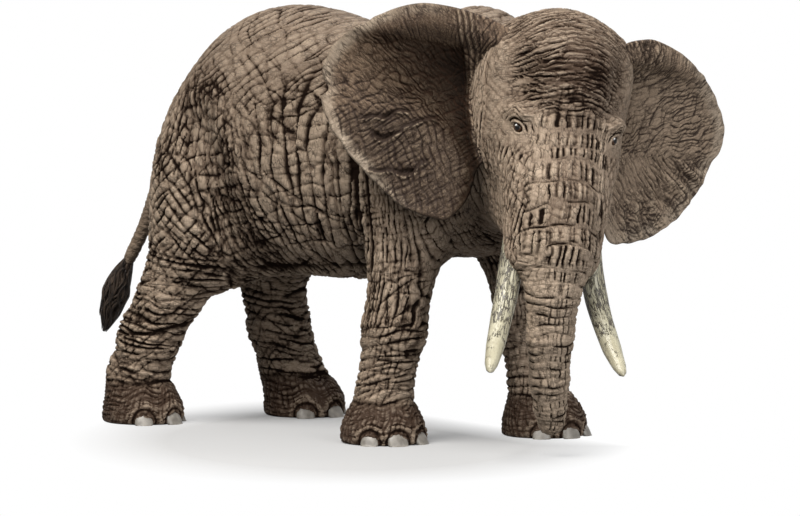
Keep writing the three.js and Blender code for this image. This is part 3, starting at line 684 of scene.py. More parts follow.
def foot_relief(points, relief, mask, leg, seed):
    """Wrinkles of one foot, which arch over its nails."""
    if mask.max() < 0.01:
        return
    centre = leg["balls"][-1][0]
    z = points[:, 2]
    turn = -leg["side"] * np.degrees(np.arctan2(points[:, 1] - centre[1], points[:, 0] - centre[0]))
    around = np.radians(turn) * leg["foot"] / 2
    mask = mask * smooth(178, 160, np.abs(turn))
    arch = np.zeros(len(points))
    for nail_turn in NAIL_TURNS[leg["fore"]]:
        aside = around - math.radians(nail_turn) * leg["foot"] / 2
        arch += 1.5 * np.exp(-((aside / 2.2) ** 2))
        level = np.hypot(aside / 2.3, (z - 0.5) / 2.8)
        cuticle = mask * np.exp(-(((level - 0.98) / 0.1) ** 2))
        relief.lift += mask * 0.16 * np.exp(-(((level - 1.3) / 0.2) ** 2)) - 0.1 * cuticle
        relief.darken(0.6 * cuticle)
    arched = np.stack([around, 0 * z, z - arch], axis=1)
    relief.folds(arched, mask, 3, 1.0, 5, 0.28, width=0.25, seed=seed + 4)
    relief.folds(arched, mask, 72, 1.1, 3, 0.2, width=0.25, seed=seed + 5)
    wrist = np.stack([around, z], axis=1)
    crease = mask * patchy(points, seed + 1)
    relief.stroke(wrist, crease, [(-22, 8.8), (-8, 8.4), (0, 8.9), (8, 8.5), (22, 9)], 0.4, 0.6, dark=1)
    relief.level += 0.6 * mask
    relief.stain_and_shade += mask


def head_regions(local, centred):
    """The head's kinds of skin, each a share of 1 at each point."""
    x, y, z = local.T
    trunk = smooth(-18, -24, z) * (trunk_field(local) < 1.5)
    upper_trunk = smooth(6, 0, z) * (1 - trunk) * smooth(9.5, 6.5, np.abs(y)) * smooth(6, 10, x)
    forehead = smooth(1, 9, z) * smooth(14, 7.5, np.abs(y)) * smooth(-8, 0, x)
    crown = smooth(14, 20, z) * (1 - forehead)
    root = smooth(9.5, 12, np.abs(y)) * smooth(2, -2, x) * smooth(22, 16, z) * smooth(-24, -14, z)
    cheek = smooth(-2, -8, z) * (1 - trunk) * (1 - upper_trunk) * smooth(-4, 4, x)
    temple = np.clip(1 - trunk - upper_trunk - forehead - crown - root - cheek, 0, 1)
    middle = smooth(6, 3, centred) * upper_trunk
    return trunk, upper_trunk, middle, forehead, crown, root, cheek, temple


def head_relief(points, relief, share):
    """Wrinkles of the head and trunk, where share isn't zero."""
    local = to_head(points)
    x, y, z = local.T
    axis_x, axis_y = (np.interp(z, trunk_heights, places) for places in (trunk_xs, trunk_ys))
    lean_x, lean_y = (np.interp(z - 1, trunk_heights, places) - np.interp(z + 1, trunk_heights, places)
                      for places in (trunk_xs, trunk_ys))
    down = -z + lean_x / 2 * (x - axis_x) + lean_y / 2 * (y - axis_y)
    trunk, upper_trunk, middle, forehead, crown, root, cheek, temple = head_regions(local, np.abs(y - axis_y))

    over_crown = 20 * np.arctan2(z - 9, x + 8)
    arc = np.where(z > 9, over_crown + 9, z)
    brow = np.stack([y, x, arc + 0.025 * y * y], axis=1)
    relief.fold_rows(share, [
        (brow, forehead, 0, 1.1, 10, 0.5, 0.3, 0.3, 51, 0.45),
        (brow, forehead, 3, 0.95, 4, 0.26, 0.26, 0.3, 65, 0.8),
        (brow, forehead * smooth(12, 5, z), 88, 1.9, 3, 0.26, 0.28, 0.3, 52),
        (brow, crown, 0, 1.35, 6, 0.36, 0.27, 0.3, 53, 0.6),
    ])
    trunk_relief(local, relief, share * upper_trunk, share * trunk, y - axis_y, down)
    relief.fold_rows(share, [
        (local, cheek, 80, 1.2, 4, 0.36, 0.28, 0.3, 58),
        (local, cheek, -55, 1.8, 3, 0.22, 0.27, 0.3, 59),
        (local, root, 84, 1.25, 18, 0.55, 0.32, 0.3, 60),
        (local, temple, 60, 1.4, 3, 0.16, 0.27, 0.3, 61),
        (local, temple, -30, 1.7, 4, 0.14, 0.27, 0.3, 62),
    ])
    relief.level += share * (forehead + 0.9 * crown + 0.2 * upper_trunk + 0.5 * trunk + 0.5 * temple)
    dark_patch = patch((y, z), (0, 13), (7, 6), soft=0.5) * (x > 0)
    # Darker paint on the forehead and crown, and lighter on the trunk, partly as painted light
    relief.stain_and_shade += share * (0.35 * dark_patch + 0.2 * middle + 0.58 * forehead + 0.35 * crown + 0.15 * temple
                             - 0.5 * trunk - 0.25 * (upper_trunk - middle))
    for sign, eye in EYES.items():
        eye_relief(local - eye, relief, share, sign)


# How tall the trunk's rows of wrinkles are at distances below the middle of the head
TRUNK_ROWS = ([0, 22, 30, 40, 62], [4.6, 3.9, 2.3, 1.75, 1.4])
row_downs = np.linspace(-10, 70, 801)
row_counts = np.cumsum(0.1 / np.interp(row_downs, *TRUNK_ROWS))


def trunk_relief(local, relief, upper, lower, across, down):
    """Rows of upright slots down the trunk, between creases that bow round it."""
    mask = np.minimum(upper + lower, 1)
    if mask.max() <= 0.02:
        return
    bowed = down - 0.016 * across ** 2 + 0.7 * drift(local / 4 + 2)[:, 0]
    rows = np.interp(bowed, row_downs, row_counts)
    tall = np.interp(bowed, *TRUNK_ROWS)
    share_down = rows % 1
    to_crease = np.minimum(share_down, 1 - share_down) * tall
    firm = mask * smooth(6, 11, down) * np.clip(0.6 + 1.1 * drift(local / 2.5 + 9)[:, 1], 0.1, 1)
    crease = firm * np.exp(-((to_crease / 0.22) ** 1.5))
    relief.lift += 0.06 * tall * mask * (np.sin(np.pi * share_down) - 0.6) - 0.3 * crease
    relief.darken(0.8 * crease)

    in_row = mask * (smooth(0.06, 0.24, share_down) * smooth(0.98, 0.8, share_down))
    high = smooth(28, 24, down)
    centred = np.abs(across)
    wide, narrow = smooth(7, 4, centred), smooth(4, 2.4, centred)
    wavy = across + 0.25 * drift(local / 1.6 + 5)[:, 0]
    columns = np.stack([11.3 * np.floor(rows), 0 * across, wavy], axis=1)
    unrolled = np.stack([across, 0 * across, -down], axis=1)
    relief.fold_rows(1, [
        (columns, high * in_row * wide, 0, 1.55, 1.8, 0.7, 0.35, 0.15, 54, 0.2),
        (columns, high * in_row * (1 - wide), 0, 1.25, 1.4, 0.36, 0.27, 0.3, 55, 0.2),
        (columns, (1 - high) * in_row * narrow, 0, 1.2, 1.4, 0.36, 0.27, 0.1, 56, 0.2),
        (columns, (1 - high) * in_row * (1 - narrow), 0, 1.15, 1.3, 0.2, 0.26, 0.3, 57, 0.2),
        (unrolled, mask * high, 0, 1.5, 2.5, 0.16, 0.26, 0.3, 63),
        (unrolled, lower, 4, 1.0, 3, 0.12, 0.26, 0.3, 64),
    ])


def eye_relief(off, relief, share, sign):
    """The lids round one eye and the rings of wrinkles outside them."""
    across = off @ np.array([0.55, sign * -0.83, 0.0])
    rise = off[:, 2] + 0.28 * across
    level = np.hypot(across, rise / 0.85)
    upper = smooth(-0.3, 0.5, rise)
    near = share * (np.linalg.norm(off, axis=1) < 8)
    calm = near * smooth(4, 2.6, level)
    relief.lift *= 1 - 0.85 * calm
    relief.groove *= 1 - 0.85 * calm
    lids = np.exp(-(((level - 1.36 - 0.12 * upper) / (0.24 + 0.1 * upper)) ** 2))
    relief.lift += near * ((0.26 + 0.18 * upper) * lids - 0.6 * smooth(1.15, 0.85, level))
    rings = near * smooth(1.7, 2.1, level) * smooth(6, 4, level) * (0.35 + 0.65 * upper)
    wave = np.cos(2 * np.pi * (level + 1.2 * drift(off / 1.8)[:, 0]) / 0.9)
    relief.lift += rings * 0.1 * wave
    relief.darken(0.8 * rings * patchy(3 * off, 4) * smooth(-0.2, -0.95, wave))
    rim = near * np.exp(-(((level - 1.95) / 0.2) ** 2)) * upper
    relief.darken(0.85 * rim)
    relief.lift -= 0.22 * rim
    relief.darken(0.95 * near * smooth(1.1, 0.98, level))


def skin_relief(points):
    """What the wrinkles do at points of the skin, the same whichever piece asks."""
    relief = Relief(len(points))
    local = to_head(points)
    body_share = smooth(-6, -12, local[:, 0] + 0.2 * np.minimum(local[:, 2] + 20, 0))
    body_share = np.where(trunk_field(local) < 1.5, 0, body_share)
    body_share = np.where(points[:, 0] < 20, 1, body_share)
    if body_share.max() > 0:
        body_relief(points, relief, body_share)
        leg_relief(points, relief, body_share)
    if body_share.min() < 1:
        head_relief(points, relief, 1 - body_share)
    return relief


# Making Blender objects

def new_object(name, points, faces, attributes=None, flat_from=None):
    """A mesh object from points in millimetres. Faces from flat_from on are flat, the others smooth."""
    mesh = bpy.data.meshes.new(name)
    placed = (points + FRAME_SHIFT) * METRES
    faces = [np.asarray(part) for part in faces]
    corners = np.concatenate([part.ravel() for part in faces])
    sizes = np.concatenate([np.full(len(part), part.shape[1]) for part in faces])
    mesh.vertices.add(len(placed))
    mesh.vertices.foreach_set("co", placed.astype(np.float32).ravel())
    mesh.loops.add(len(corners))
    mesh.loops.foreach_set("vertex_index", corners.astype(np.int32))
    mesh.polygons.add(len(sizes))
    mesh.polygons.foreach_set("loop_start", np.concatenate([[0], np.cumsum(sizes)[:-1]]).astype(np.int32))
    mesh.update(calc_edges=True)
    smooth_flags = np.ones(len(sizes), bool)
    if flat_from is not None:
        smooth_flags[flat_from:] = False
    mesh.polygons.foreach_set("use_smooth", smooth_flags)
    for key, values in (attributes or {}).items():
        layer = mesh.attributes.new(key, "FLOAT", "POINT")
        layer.data.foreach_set("value", np.asarray(values, np.float32))
    mesh.validate()
    made = bpy.data.objects.new(name, mesh)
    bpy.context.scene.collection.objects.link(made)
    return made


def finish_piece(made, material, slot, *nodes):
    made.data.materials.append(material)
    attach(made, "root")
    if nodes:
        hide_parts(*nodes)
    return made


HOLLOW_REACHES = (2, 5, 9)  # how far out from the skin the figure is felt for


def hollow_shade(points, normals):
    """How enclosed each point is by the figure round it: 0 in the open and 1 in the deepest places. The skin
    is painted darker by it, as painted shade.
    """
    total = np.zeros(len(points))
    for reach in HOLLOW_REACHES:
        free = np.clip(whole_field(points + reach * normals) / reach, 0, 1)
        total += (1 - free) / len(HOLLOW_REACHES)
    return total


def skin_piece(name, field, box, cell, keep, seams, material, node):
    """A piece of the skin: the part of a field's surface that keep picks, closed at its seams."""
    points, quads = surface_net(field, *box, cell)
    middles = points[quads].mean(axis=1)
    quads = quads[keep(middles, 2 * cell)]
    points, quads = compact(points, quads)
    points = settle(field, points, 2)
    for _ in range(2):
        points, quads = refine(points, quads)
        points = settle(field, points)
    quads = quads[keep(points[quads].mean(axis=1), 0)]
    points, quads = compact(points, quads)

    edge = open_edges(quads)
    rim = np.unique(edge)
    nearest = np.argmin([seam_miss(points[rim], seam) for seam in seams], axis=0)
    for n, seam in enumerate(seams):
        ours = rim[nearest == n]
        normal = SEAMS[seam][1]
        points[ours] -= past_seam(points[ours], seam)[:, None] * normal
        points[ours] = settle(field, points[ours], 2, np.tile(normal, (len(ours), 1)))

    _, normals = gradient(field, points)
    normals /= np.linalg.norm(normals, axis=1, keepdims=True)
    relief = skin_relief(points)
    # How enclosed each point is, for the painted shade in hollows
    hollow = hollow_shade(points, normals)
    flat_sole = smooth(0.1, 0.8, points[:, 2])
    moved = points + (relief.lift * flat_sole)[:, None] * normals
    moved[:, 2] = np.maximum(moved[:, 2], 0)

    caps = []
    caps_at = []
    for n, seam in enumerate(seams):
        ours = edge[np.isin(edge[:, 0], rim[nearest == n])]
        caps_at.append(moved[np.unique(ours)].mean(axis=0))
        centre = np.full(len(ours), len(moved) + n)
        caps.append(np.stack([ours[:, 1], ours[:, 0], centre], axis=1))
    moved = np.vstack([moved, caps_at])
    extra = np.zeros(len(seams))
    attributes = {"hollow": np.append(hollow, extra)}
    for key in ("groove", "lift", "level", "stain_and_shade"):
        attributes[key] = np.append(getattr(relief, key), extra)
    made = new_object(name, moved, [quads, np.vstack(caps)], attributes, flat_from=len(quads))
    return finish_piece(made, material, "skin", node)


HEAD_BOX = ((-20, 32), (-20, 20), (-62, 30))  # in its own frame, with room to spare
TORSO_CELL, LEG_CELL, HEAD_CELL = 1.25, 1.05, 1.0


def make_skin(material):
    coarse = 1.0

    def keep_torso(middles, slack):
        kept = past_seam(middles, "neck") < slack
        for name, leg in LEGS.items():
            kept &= (past_seam(middles, name) > -slack) | (leg["field"](middles) > leg_margin)
        return kept

    margin = 4
    half_width = torso_width / 2 + margin
    box = ([rump_x - margin, -half_width, belly_height - 3 * margin],
           [neck_seam_at[0] + 2 * margin, half_width, belly_height + torso_depth + margin])
    cell = TORSO_CELL * coarse
    skin_piece("torso_skin", body_field, box, cell, keep_torso, ["neck", *LEGS], material, "torso")

    for name, leg in LEGS.items():
        def keep_leg(middles, slack, name=name, leg=leg):
            return (past_seam(middles, name) < slack) & (leg["field"](middles) < leg_margin)

        centres = np.array([ball[0] for ball in leg["balls"][1:]])
        radii = np.array([ball[1] for ball in leg["balls"][1:]])[:, None]
        box = ((centres - radii).min(axis=0) - margin, (centres + radii).max(axis=0) + margin)
        cell = LEG_CELL * coarse
        skin_piece(name + "_skin", standing(body_field), box, cell, keep_leg, [name], material, name)

    def keep_head(middles, slack):
        return past_seam(middles, "neck") > -slack

    corners = from_head(np.array(list(itertools.product(*HEAD_BOX)), float))
    box = (np.maximum(corners.min(axis=0), [15, -40, 0]), corners.max(axis=0))
    skin_piece("head_skin", head_field, box, HEAD_CELL * coarse, keep_head, ["neck"], material, "head")


def standing(field):
    """A field cut off at the ground, with a slightly rounded edge."""
    def cut(points):
        return -join(-field(points), points[:, 2], 0.8)
    return cut


# Ears

# Each ear's outline seen from its front: shares of its width out from the head, and of its height up
EAR_RIMS = {
    -1: [
        (-0.12, 0.88), (0.05, 0.96), (0.22, 0.99), (0.37, 1), (0.51, 0.99), (0.65, 0.94), (0.77, 0.87),
        (0.88, 0.8), (0.95, 0.72), (0.985, 0.64), (0.98, 0.57), (0.935, 0.51), (0.965, 0.46), (0.93, 0.39),
        (0.86, 0.31), (0.75, 0.215), (0.65, 0.15), (0.5, 0.06), (0.36, 0.01), (0.24, 0), (0.16, 0.01),
        (0.09, 0.08), (0.06, 0.17), (0.04, 0.28), (-0.08, 0.4), (-0.12, 0.6),
    ],
    1: [
        (-0.12, 0.9), (-0.04, 0.95), (0.09, 0.975), (0.22, 0.98), (0.44, 0.935), (0.65, 0.85), (0.78, 0.785),
        (0.87, 0.715), (0.95, 0.625), (0.96, 0.55), (0.945, 0.495), (0.905, 0.45), (0.87, 0.4), (0.81, 0.315),
        (0.715, 0.19), (0.64, 0.13), (0.55, 0.065), (0.43, 0.035), (0.28, 0.01), (0.14, 0), (0.07, 0.06),
        (0.03, 0.2), (-0.08, 0.4), (-0.12, 0.6),
    ],
}
EAR_MIDDLE = np.array([0.38, 0.52])
EAR_ROOT_SHARE = 0.44  # how high up it the ear's root is
EAR_EDGE, EAR_EDGE_WIDTH = 0.96, 0.04  # the outermost ring, where the sheet is rounded off
EAR_AROUND, EAR_OUTWARD = 120, 20  # millimetres round the rim and from the middle to it, for its wrinkles


def closed_path(points, count):
    """A smooth closed path through the points, as this many points that are evenly apart."""
    points = np.array(points, float)
    pieces = 24
    around = np.vstack([points[-2:], points, points[:3]])
    path = smooth_path(around, pieces)[2 * pieces:-2 * pieces]
    lengths = arc_lengths(path)
    return at_lengths(path, lengths, np.arange(count) / count * lengths[-1])


def ear_axes(side):
    turn = math.radians(ear_sweeps[side])
    out = np.array([-math.sin(turn), side * math.cos(turn), 0])
    up = np.array([0, 0, 1.0])
    front = np.array([math.cos(turn), side * math.sin(turn), 0])
    tilt = turned(ear_tilt, "X")
    return tilt @ out, tilt @ up, tilt @ front


def ear_dish(out, up, ring):
    """How far the ear's sheet lies in front of its own plane."""
    dish = (out - EAR_MIDDLE[0]) ** 2 + (up - EAR_MIDDLE[1]) ** 2
    curl = (np.maximum(up - 0.7, 0) / 0.3) ** 2
    fold = np.sin(3 * np.pi * (out + up / 3)) * out
    sunk = np.exp(-(((out - 0.22) / 0.17) ** 2) - ((up - 0.67) / 0.14) ** 2)
    rolled = smooth(0.74, 0.88, up) * np.exp(-(((ring - 0.8) / 0.16) ** 2))
    cup = ear_cup * (2 * dish - 0.5) + ear_curl * curl * out + ear_thickness / 2 * fold
    return cup - ear_hollow * sunk + ear_roll * rolled


def ear_relief(flat, out, up, rings, turns, side, front):
    """Wrinkles of one face of an ear, and where its paint differs."""
    near = side < 0
    relief = Relief(len(out))
    nowhere = np.zeros(len(out))
    place = np.stack([flat[:, 0], nowhere, flat[:, 1]], axis=1)
    polar = np.stack([turns * EAR_AROUND, nowhere, rings * EAR_OUTWARD], axis=1)
    band = smooth(0.76, 0.86, up + 0.1 * (out - 0.4) ** 2) * smooth(0.5, 0.7, rings)
    rim = smooth(0.84 if near else 0.76, 0.96, rings) * (1 - band) * (smooth(0.4, 0.7, out) if near else 1)
    lower = smooth(0.48, 0.38, up)
    middle = (1 - lower) * (1 - band)
    calm = 1 - 0.75 * rim
    seed = 80 + 10 * side + (0 if front else 5)
    first, second, third = (36, -24, 60) if near else (18, 62, -35)
    inked = 0.95 if near else 0.7
    relief.fold_rows(1, [
        (polar, band, 90, 0.95, 9, 0.26, 0.25, 0.3, seed, 0.35, 0.25, 0.9),
        (place, middle * calm, first, 1.05, 4.5, 0.27, 0.22, 0.3, seed + 1, 0.7, 0.25, 0.95),
        (place, middle * calm, second, 2.1, 3.5, 0.22, 0.22, 0.3, seed + 2, 0.6, 0.25, 0.8),
        (place, lower * calm, -42, 1.15, 6, 0.3, 0.23, 0.3, seed + 3, 0.35, 0.25, inked),
        (place, lower * calm, third, 1.45, 4, 0.26, 0.22, 0.3, seed + 4, 0.35, 0.25, inked),
    ])
    sway = drift(np.stack([9 * turns, rings, nowhere + side], axis=1))[:, 0]
    frill = np.cos(2 * np.pi * 34 * turns + 5 * sway)
    relief.lift += 0.16 * frill * smooth(0.86, 1, rings) * smooth(0.2, 0.4, out) * (1 - band)

    paint = {
        "band": band * (1 if near else 0.35),
        # Pale rims, partly wear and partly a painted highlight on the lit edges
        "worn_and_lit": np.maximum(rim, 0.8 * smooth(0.86, 0.96, rings) * smooth(0.3, 0.6, out)),
        "shade": nowhere,
        "lower": lower,
        "deep": nowhere + (0.3 if near else 0.1),
        "beside": nowhere,
    }
    if front:
        paint["shade"], beside = gather_ear(relief, place, out, up, seed)
        if near:
            near_ear_marks(relief, flat)
            # The near ear's front is painted darker, and darker still low down, where that is painted shade
            paint["deep"] = (0.5 + 0.38 * lower) * smooth(1.25, 0.55, out) * (1 - beside)
        else:
            beside = 1 - 0.1 * far_ear_marks(relief, place, polar, out, up, rings, turns, seed)
            # Painted shade in the far ear's cup beside the head
            paint["shade"] = 0.6 * np.exp(-(((out - 0.1) / 0.2) ** 2) - ((up - 0.62) / 0.17) ** 2)
            paint["deep"] = nowhere
        paint["beside"] = beside
    return relief, paint


def gather_ear(relief, place, out, up, seed):
    """Gather the skin where an ear meets the head.

    Gives the painted shadow in the hollow outside it, and what lies inside.
    """
    beyond = out - np.interp(up, *EAR_FOLD_LINE)
    gather = smooth(0.05, 0.01, beyond) * smooth(-0.13, -0.07, beyond) * smooth(0.2, 0.32, up)
    wave = np.cos(2 * np.pi * (beyond * ear_width + 1.1 * drift(place / 5 + seed)[:, 0]) / 1.25)
    relief.lift += 0.28 * gather * wave
    relief.groove = np.maximum(relief.groove, 0.85 * gather * smooth(-0.6, -1, wave))
    beside = smooth(-0.07, -0.12, beyond)
    along_head = np.stack([place[:, 2], 0 * out, beyond * ear_width], axis=1)
    relief.folds(along_head, beside, 4, 1.15, 6, 0.45, width=0.27, sway=0.6, seed=seed + 7)
    reach = np.interp(up, *EAR_HOLLOW_REACH)
    hollow = np.exp(-((np.maximum(beyond, 0) / reach) ** 1.6)) * smooth(-0.02, 0.012, beyond)
    return hollow * smooth(0.85, 0.79, up), beside


def near_ear_marks(relief, flat):
    """The near ear's ragged ridges with a painted shadow in the furrow above each, and its pits, painted dark
    as shade.
    """
    everywhere = np.ones(len(flat))
    size = np.array([ear_width, ear_height])
    for ridge in NEAR_EAR_RIDGES:
        relief.stroke(flat, everywhere, ridge * size + np.array([0, 0.55]), 0.36, 0.35, dark=0.9)
        relief.stroke(flat, everywhere, ridge * size, 0.34, -0.5)
    for pit in NEAR_EAR_PITS:
        relief.stroke(flat, everywhere, pit * size, 0.55, 0.9, dark=1)


def far_ear_marks(relief, place, polar, out, up, rings, turns, seed):
    """The far ear's ridges, which fan out below, and its folds above the head, where the result is 1."""
    ridges = np.cos(17 * 2 * np.pi * turns + 2 * rings + 2 * drift(place / 6)[:, 1])
    fanned = smooth(0.35, 0.8, rings) * smooth(0.52, 0.36, up) * smooth(0.1, 0.3, out)
    relief.lift += 0.6 * ridges * fanned
    relief.groove = np.maximum(relief.groove, 0.5 * fanned * smooth(-0.8, -1, ridges))
    gathered = smooth(0.42, 0.12, out) * smooth(0.72, 0.82, up)
    relief.fold_rows(1, [
        (polar, fanned, 0, 0.95, 4, 0.3, 0.23, 0.3, seed + 8, 0.8, 0.25, 0.95),
        (place, gathered, 112, 1.15, 9, 0.45, 0.3, 0.5, seed + 6, 0.35, 0.25, 0.6),
    ])
    return gathered


# Where the near ear's skin is gathered against the head: heights, and the shares of its width there
EAR_FOLD_LINE = ([0.29, 0.4, 0.58, 0.65, 0.85, 0.99], [0.05, 0.119, 0.186, 0.2, 0.25, 0.29])
# How far out from that line the painted shadow in its hollow reaches: heights, and shares of the ear's width
EAR_HOLLOW_REACH = ([0.25, 0.4, 0.5, 0.6, 0.7, 0.8], [0.06, 0.12, 0.26, 0.48, 0.62, 0.66])
NEAR_EAR_RIDGES = [
    [(0.705, 0.398), (0.654, 0.416), (0.609, 0.413), (0.572, 0.443), (0.531, 0.461), (0.487, 0.461)],
    [(0.66, 0.342), (0.61, 0.309), (0.56, 0.333), (0.511, 0.36), (0.492, 0.387), (0.431, 0.418),
     (0.383, 0.443), (0.329, 0.457)],
    [(0.633, 0.162), (0.578, 0.161), (0.516, 0.177), (0.443, 0.165), (0.394, 0.19), (0.374, 0.227),
     (0.339, 0.247)],
]
NEAR_EAR_PITS = [
    [(0.637, 0.340), (0.597, 0.329), (0.562, 0.347)],
    [(0.471, 0.184), (0.417, 0.197)],
    [(0.60, 0.43), (0.575, 0.447)],
]


def ear_outline(side, around):
    """Points round an ear's rim, slightly scalloped."""
    rim = closed_path(EAR_RIMS[side], around)
    angles = 2 * np.pi * np.arange(around) / around
    ragged = drift(np.stack([9 * np.cos(angles), 9 * np.sin(angles), 0 * angles + side], axis=1))
    scallop = 0.016 * ragged[:, 0] * smooth(0.0, 0.3, rim[:, 0]) * smooth(1.0, 0.8, rim[:, 1])
    return EAR_MIDDLE + (rim - EAR_MIDDLE) * (1 + scallop)[:, None]


def ear_faces(around, across, flip):
    """Quads over both faces of an ear and round its rim, and the triangles in the middle of each face."""
    size = 1 + around * across
    here = 1 + np.arange(around)
    following = 1 + (np.arange(around) + 1) % around
    fans, quads = [], []
    for start, kept in ((0, flip), (size, not flip)):
        fan = np.stack([np.full(around, start), start + here, start + following], axis=1)
        fans.append(fan if kept else fan[:, ::-1])
        for ring in range(across - 1):
            low, high = start + ring * around, start + (ring + 1) * around
            quad = np.stack([low + here, high + here, high + following, low + following], axis=1)
            quads.append(quad if kept else quad[:, ::-1])
    front, back = (across - 1) * around, size + (across - 1) * around
    edge = np.stack([front + here, back + here, back + following, front + following], axis=1)
    quads.append(edge if flip else edge[:, ::-1])
    return [np.vstack(quads), np.vstack(fans)]


def make_ear(side, material):
    name = "right_ear" if side < 0 else "left_ear"
    around, across = ((560, 84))
    rim = ear_outline(side, around)
    rings = np.linspace(0, 1, across + 1)[1:]
    grid = EAR_MIDDLE + rings[:, None, None] * (rim - EAR_MIDDLE)
    out, up = np.vstack([EAR_MIDDLE[None], grid.reshape(-1, 2)]).T
    ring_of = np.concatenate([[0], np.repeat(rings, around)])
    turn_of = np.concatenate([[0], np.tile(np.arange(around) / around, across)])
    flat = np.stack([out * ear_width, up * ear_height], axis=1)

    points, parts = [], []
    out_axis, up_axis, front_axis = ear_axes(side)
    root = np.array([0, side * 0.4 * head_width, -0.06 * head_height])
    sheet = root + flat[:, :1] * out_axis + ((up - EAR_ROOT_SHARE) * ear_height)[:, None] * up_axis
    rounding = np.sqrt(np.maximum(1 - ((ring_of - EAR_EDGE) / EAR_EDGE_WIDTH) ** 2, 0)) * 0.9 + 0.1
    thick = ear_thickness + (ear_rim_thickness - ear_thickness) * ring_of
    thick = thick * np.where(ring_of > EAR_EDGE, rounding, 1)
    for face in (1, -1):
        relief, paint = ear_relief(flat, out, up, ring_of, turn_of, side, face > 0)
        depth = ear_dish(out, up, ring_of) + face * (thick / 2 + relief.lift * smooth(1.0, 0.95, ring_of))
        points.append(from_head(sheet + depth[:, None] * front_axis))
        parts.append({"groove": relief.groove, "lift": relief.lift, "across_mm": flat[:, 0],
                      "up_mm": flat[:, 1], **paint})
    attributes = {key: np.concatenate([part[key] for part in parts]) for key in parts[0]}
    made = new_object(name + "_skin", np.vstack(points), ear_faces(around, across, side < 0), attributes)
    finish_piece(made, material, "skin", name)


# Round pieces along a path

def resampled(path, count):
    """This many points evenly along a path, and the path's length."""
    lengths = arc_lengths(path)
    return at_lengths(path, lengths, np.linspace(0, lengths[-1], count)), lengths[-1]


def tube(path, radii, sides, lift=None):
    """Rings of points round a path, with the faces between them, closed at both ends."""
    tangents = np.gradient(path, axis=0)
    tangents /= np.linalg.norm(tangents, axis=1, keepdims=True)
    across = np.cross(tangents[0], [0.3, 1, 0.2])
    rings = []
    angles = 2 * np.pi * np.arange(sides) / sides
    for n, (centre, tangent) in enumerate(zip(path, tangents)):
        across = across - (across @ tangent) * tangent
        across /= np.linalg.norm(across)
        other = np.cross(tangent, across)
        radius = radii[n] + (0 if lift is None else lift[n])
        aside = (np.cos(angles) * radius)[:, None] * across
        rings.append(centre + aside + (np.sin(angles) * radius)[:, None] * other)
    count = len(path)
    ring, around = np.meshgrid(np.arange(count - 1), np.arange(sides), indexing="ij")
    a, b = ring * sides + around, ring * sides + (around + 1) % sides
    quads = np.stack([a, b, b + sides, a + sides], axis=-1).reshape(-1, 4)
    tips = np.vstack([path[0], path[-1]])
    around = np.arange(sides)
    following = (around + 1) % sides
    start, end = count * sides, count * sides + 1
    last = (count - 1) * sides
    fans = np.vstack([np.stack([following, around, np.full(sides, start)], axis=1),
                      np.stack([last + around, last + following, np.full(sides, end)], axis=1)])
    return np.vstack([*rings, tips]), quads, fans


def around_tube(lengths, sides, radius):
    """A flat place on an unrolled tube: rows of [round it, 0, along it]."""
    along, angle = np.meshgrid(lengths, 2 * np.pi * np.arange(sides) / sides, indexing="ij")
    return np.stack([radius * np.cos(angle), radius * np.sin(angle), along], axis=-1).reshape(-1, 3)


# Ahead and down as shares of a tusk's length, and aside as a share of half their spread
TUSK_POINTS = [
    (0.2, 0.72, 0.38), (0.24, 0.82, 0.58), (0.31, 0.96, 0.8), (0.45, 1.22, 1.02), (0.62, 1.45, 1.17),
]
TUSK_LEANS = (0, 0.4, 0.8, 0.9, 0.5)
left_tusk_share = 0.95
TUSK_WIDTHS = ([0, 0.5, 0.8, 0.93, 0.98, 1], [1, 0.94, 0.76, 0.55, 0.34, 0.06])


def make_tusk(side, material):
    name = "right_tusk" if side < 0 else "left_tusk"
    long = tusk_length * (1 if side < 0 else left_tusk_share)
    points = np.array([(ahead * long, side * aside * tusk_spread / 2 + lean * tusk_lean, -down * long)
                       for (ahead, aside, down), lean in zip(TUSK_POINTS, TUSK_LEANS)])
    rings, sides = ((150, 56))
    path, length = resampled(smooth_path(points, 30), rings)
    shares = np.linspace(0, 1, rings)
    radii = np.interp(shares, *TUSK_WIDTHS) * tusk_width / 2
    place = around_tube(shares * length, sides, tusk_width / 2)
    aged = np.repeat(smooth(1.05, 0.45, shares), sides)
    ripple = 0.07 * drift(place / np.array([0.9, 0.9, 3]) + side)[:, 0].reshape(rings, sides)
    shape, quads, fans = tube(path, radii, sides, ripple * smooth(1, 0.95, shares)[:, None])
    around = np.tile(np.arange(sides) / sides * np.pi * tusk_width, rings)
    along = np.repeat(shares * length, sides)
    attributes = {
        "aged": np.append(aged, [0, 0]),
        "across_mm": np.append(around, [0, 0]),
        "up_mm": np.append(along, [0, length]),
    }
    made = new_object(name + "_ivory", from_head(shape), [quads, fans], attributes)
    finish_piece(made, material, "ivory", name)


# Behind, to the left and below the root, as shares of the tail's length
TAIL_POINTS = [
    (0, 0, 0), (0.12, 0.01, 0.04), (0.195, 0.02, 0.145), (0.27, 0.03, 0.325), (0.35, 0.04, 0.495),
    (0.415, 0.04, 0.61), (0.467, 0.04, 0.7), (0.512, 0.04, 0.8), (0.565, 0.04, 0.94),
]
TAIL_WIDTHS = ([0, 0.2, 0.45, 0.68, 0.73, 0.74], [1.25, 1.1, 0.95, 0.85, 0.6, 0.1])
TUFT_WIDTHS = ([0, 0.22, 0.5, 0.78, 1], [0.25, 0.6, 1, 0.75, 0.2])
STEM_END, TUFT_START = 0.74, 0.68


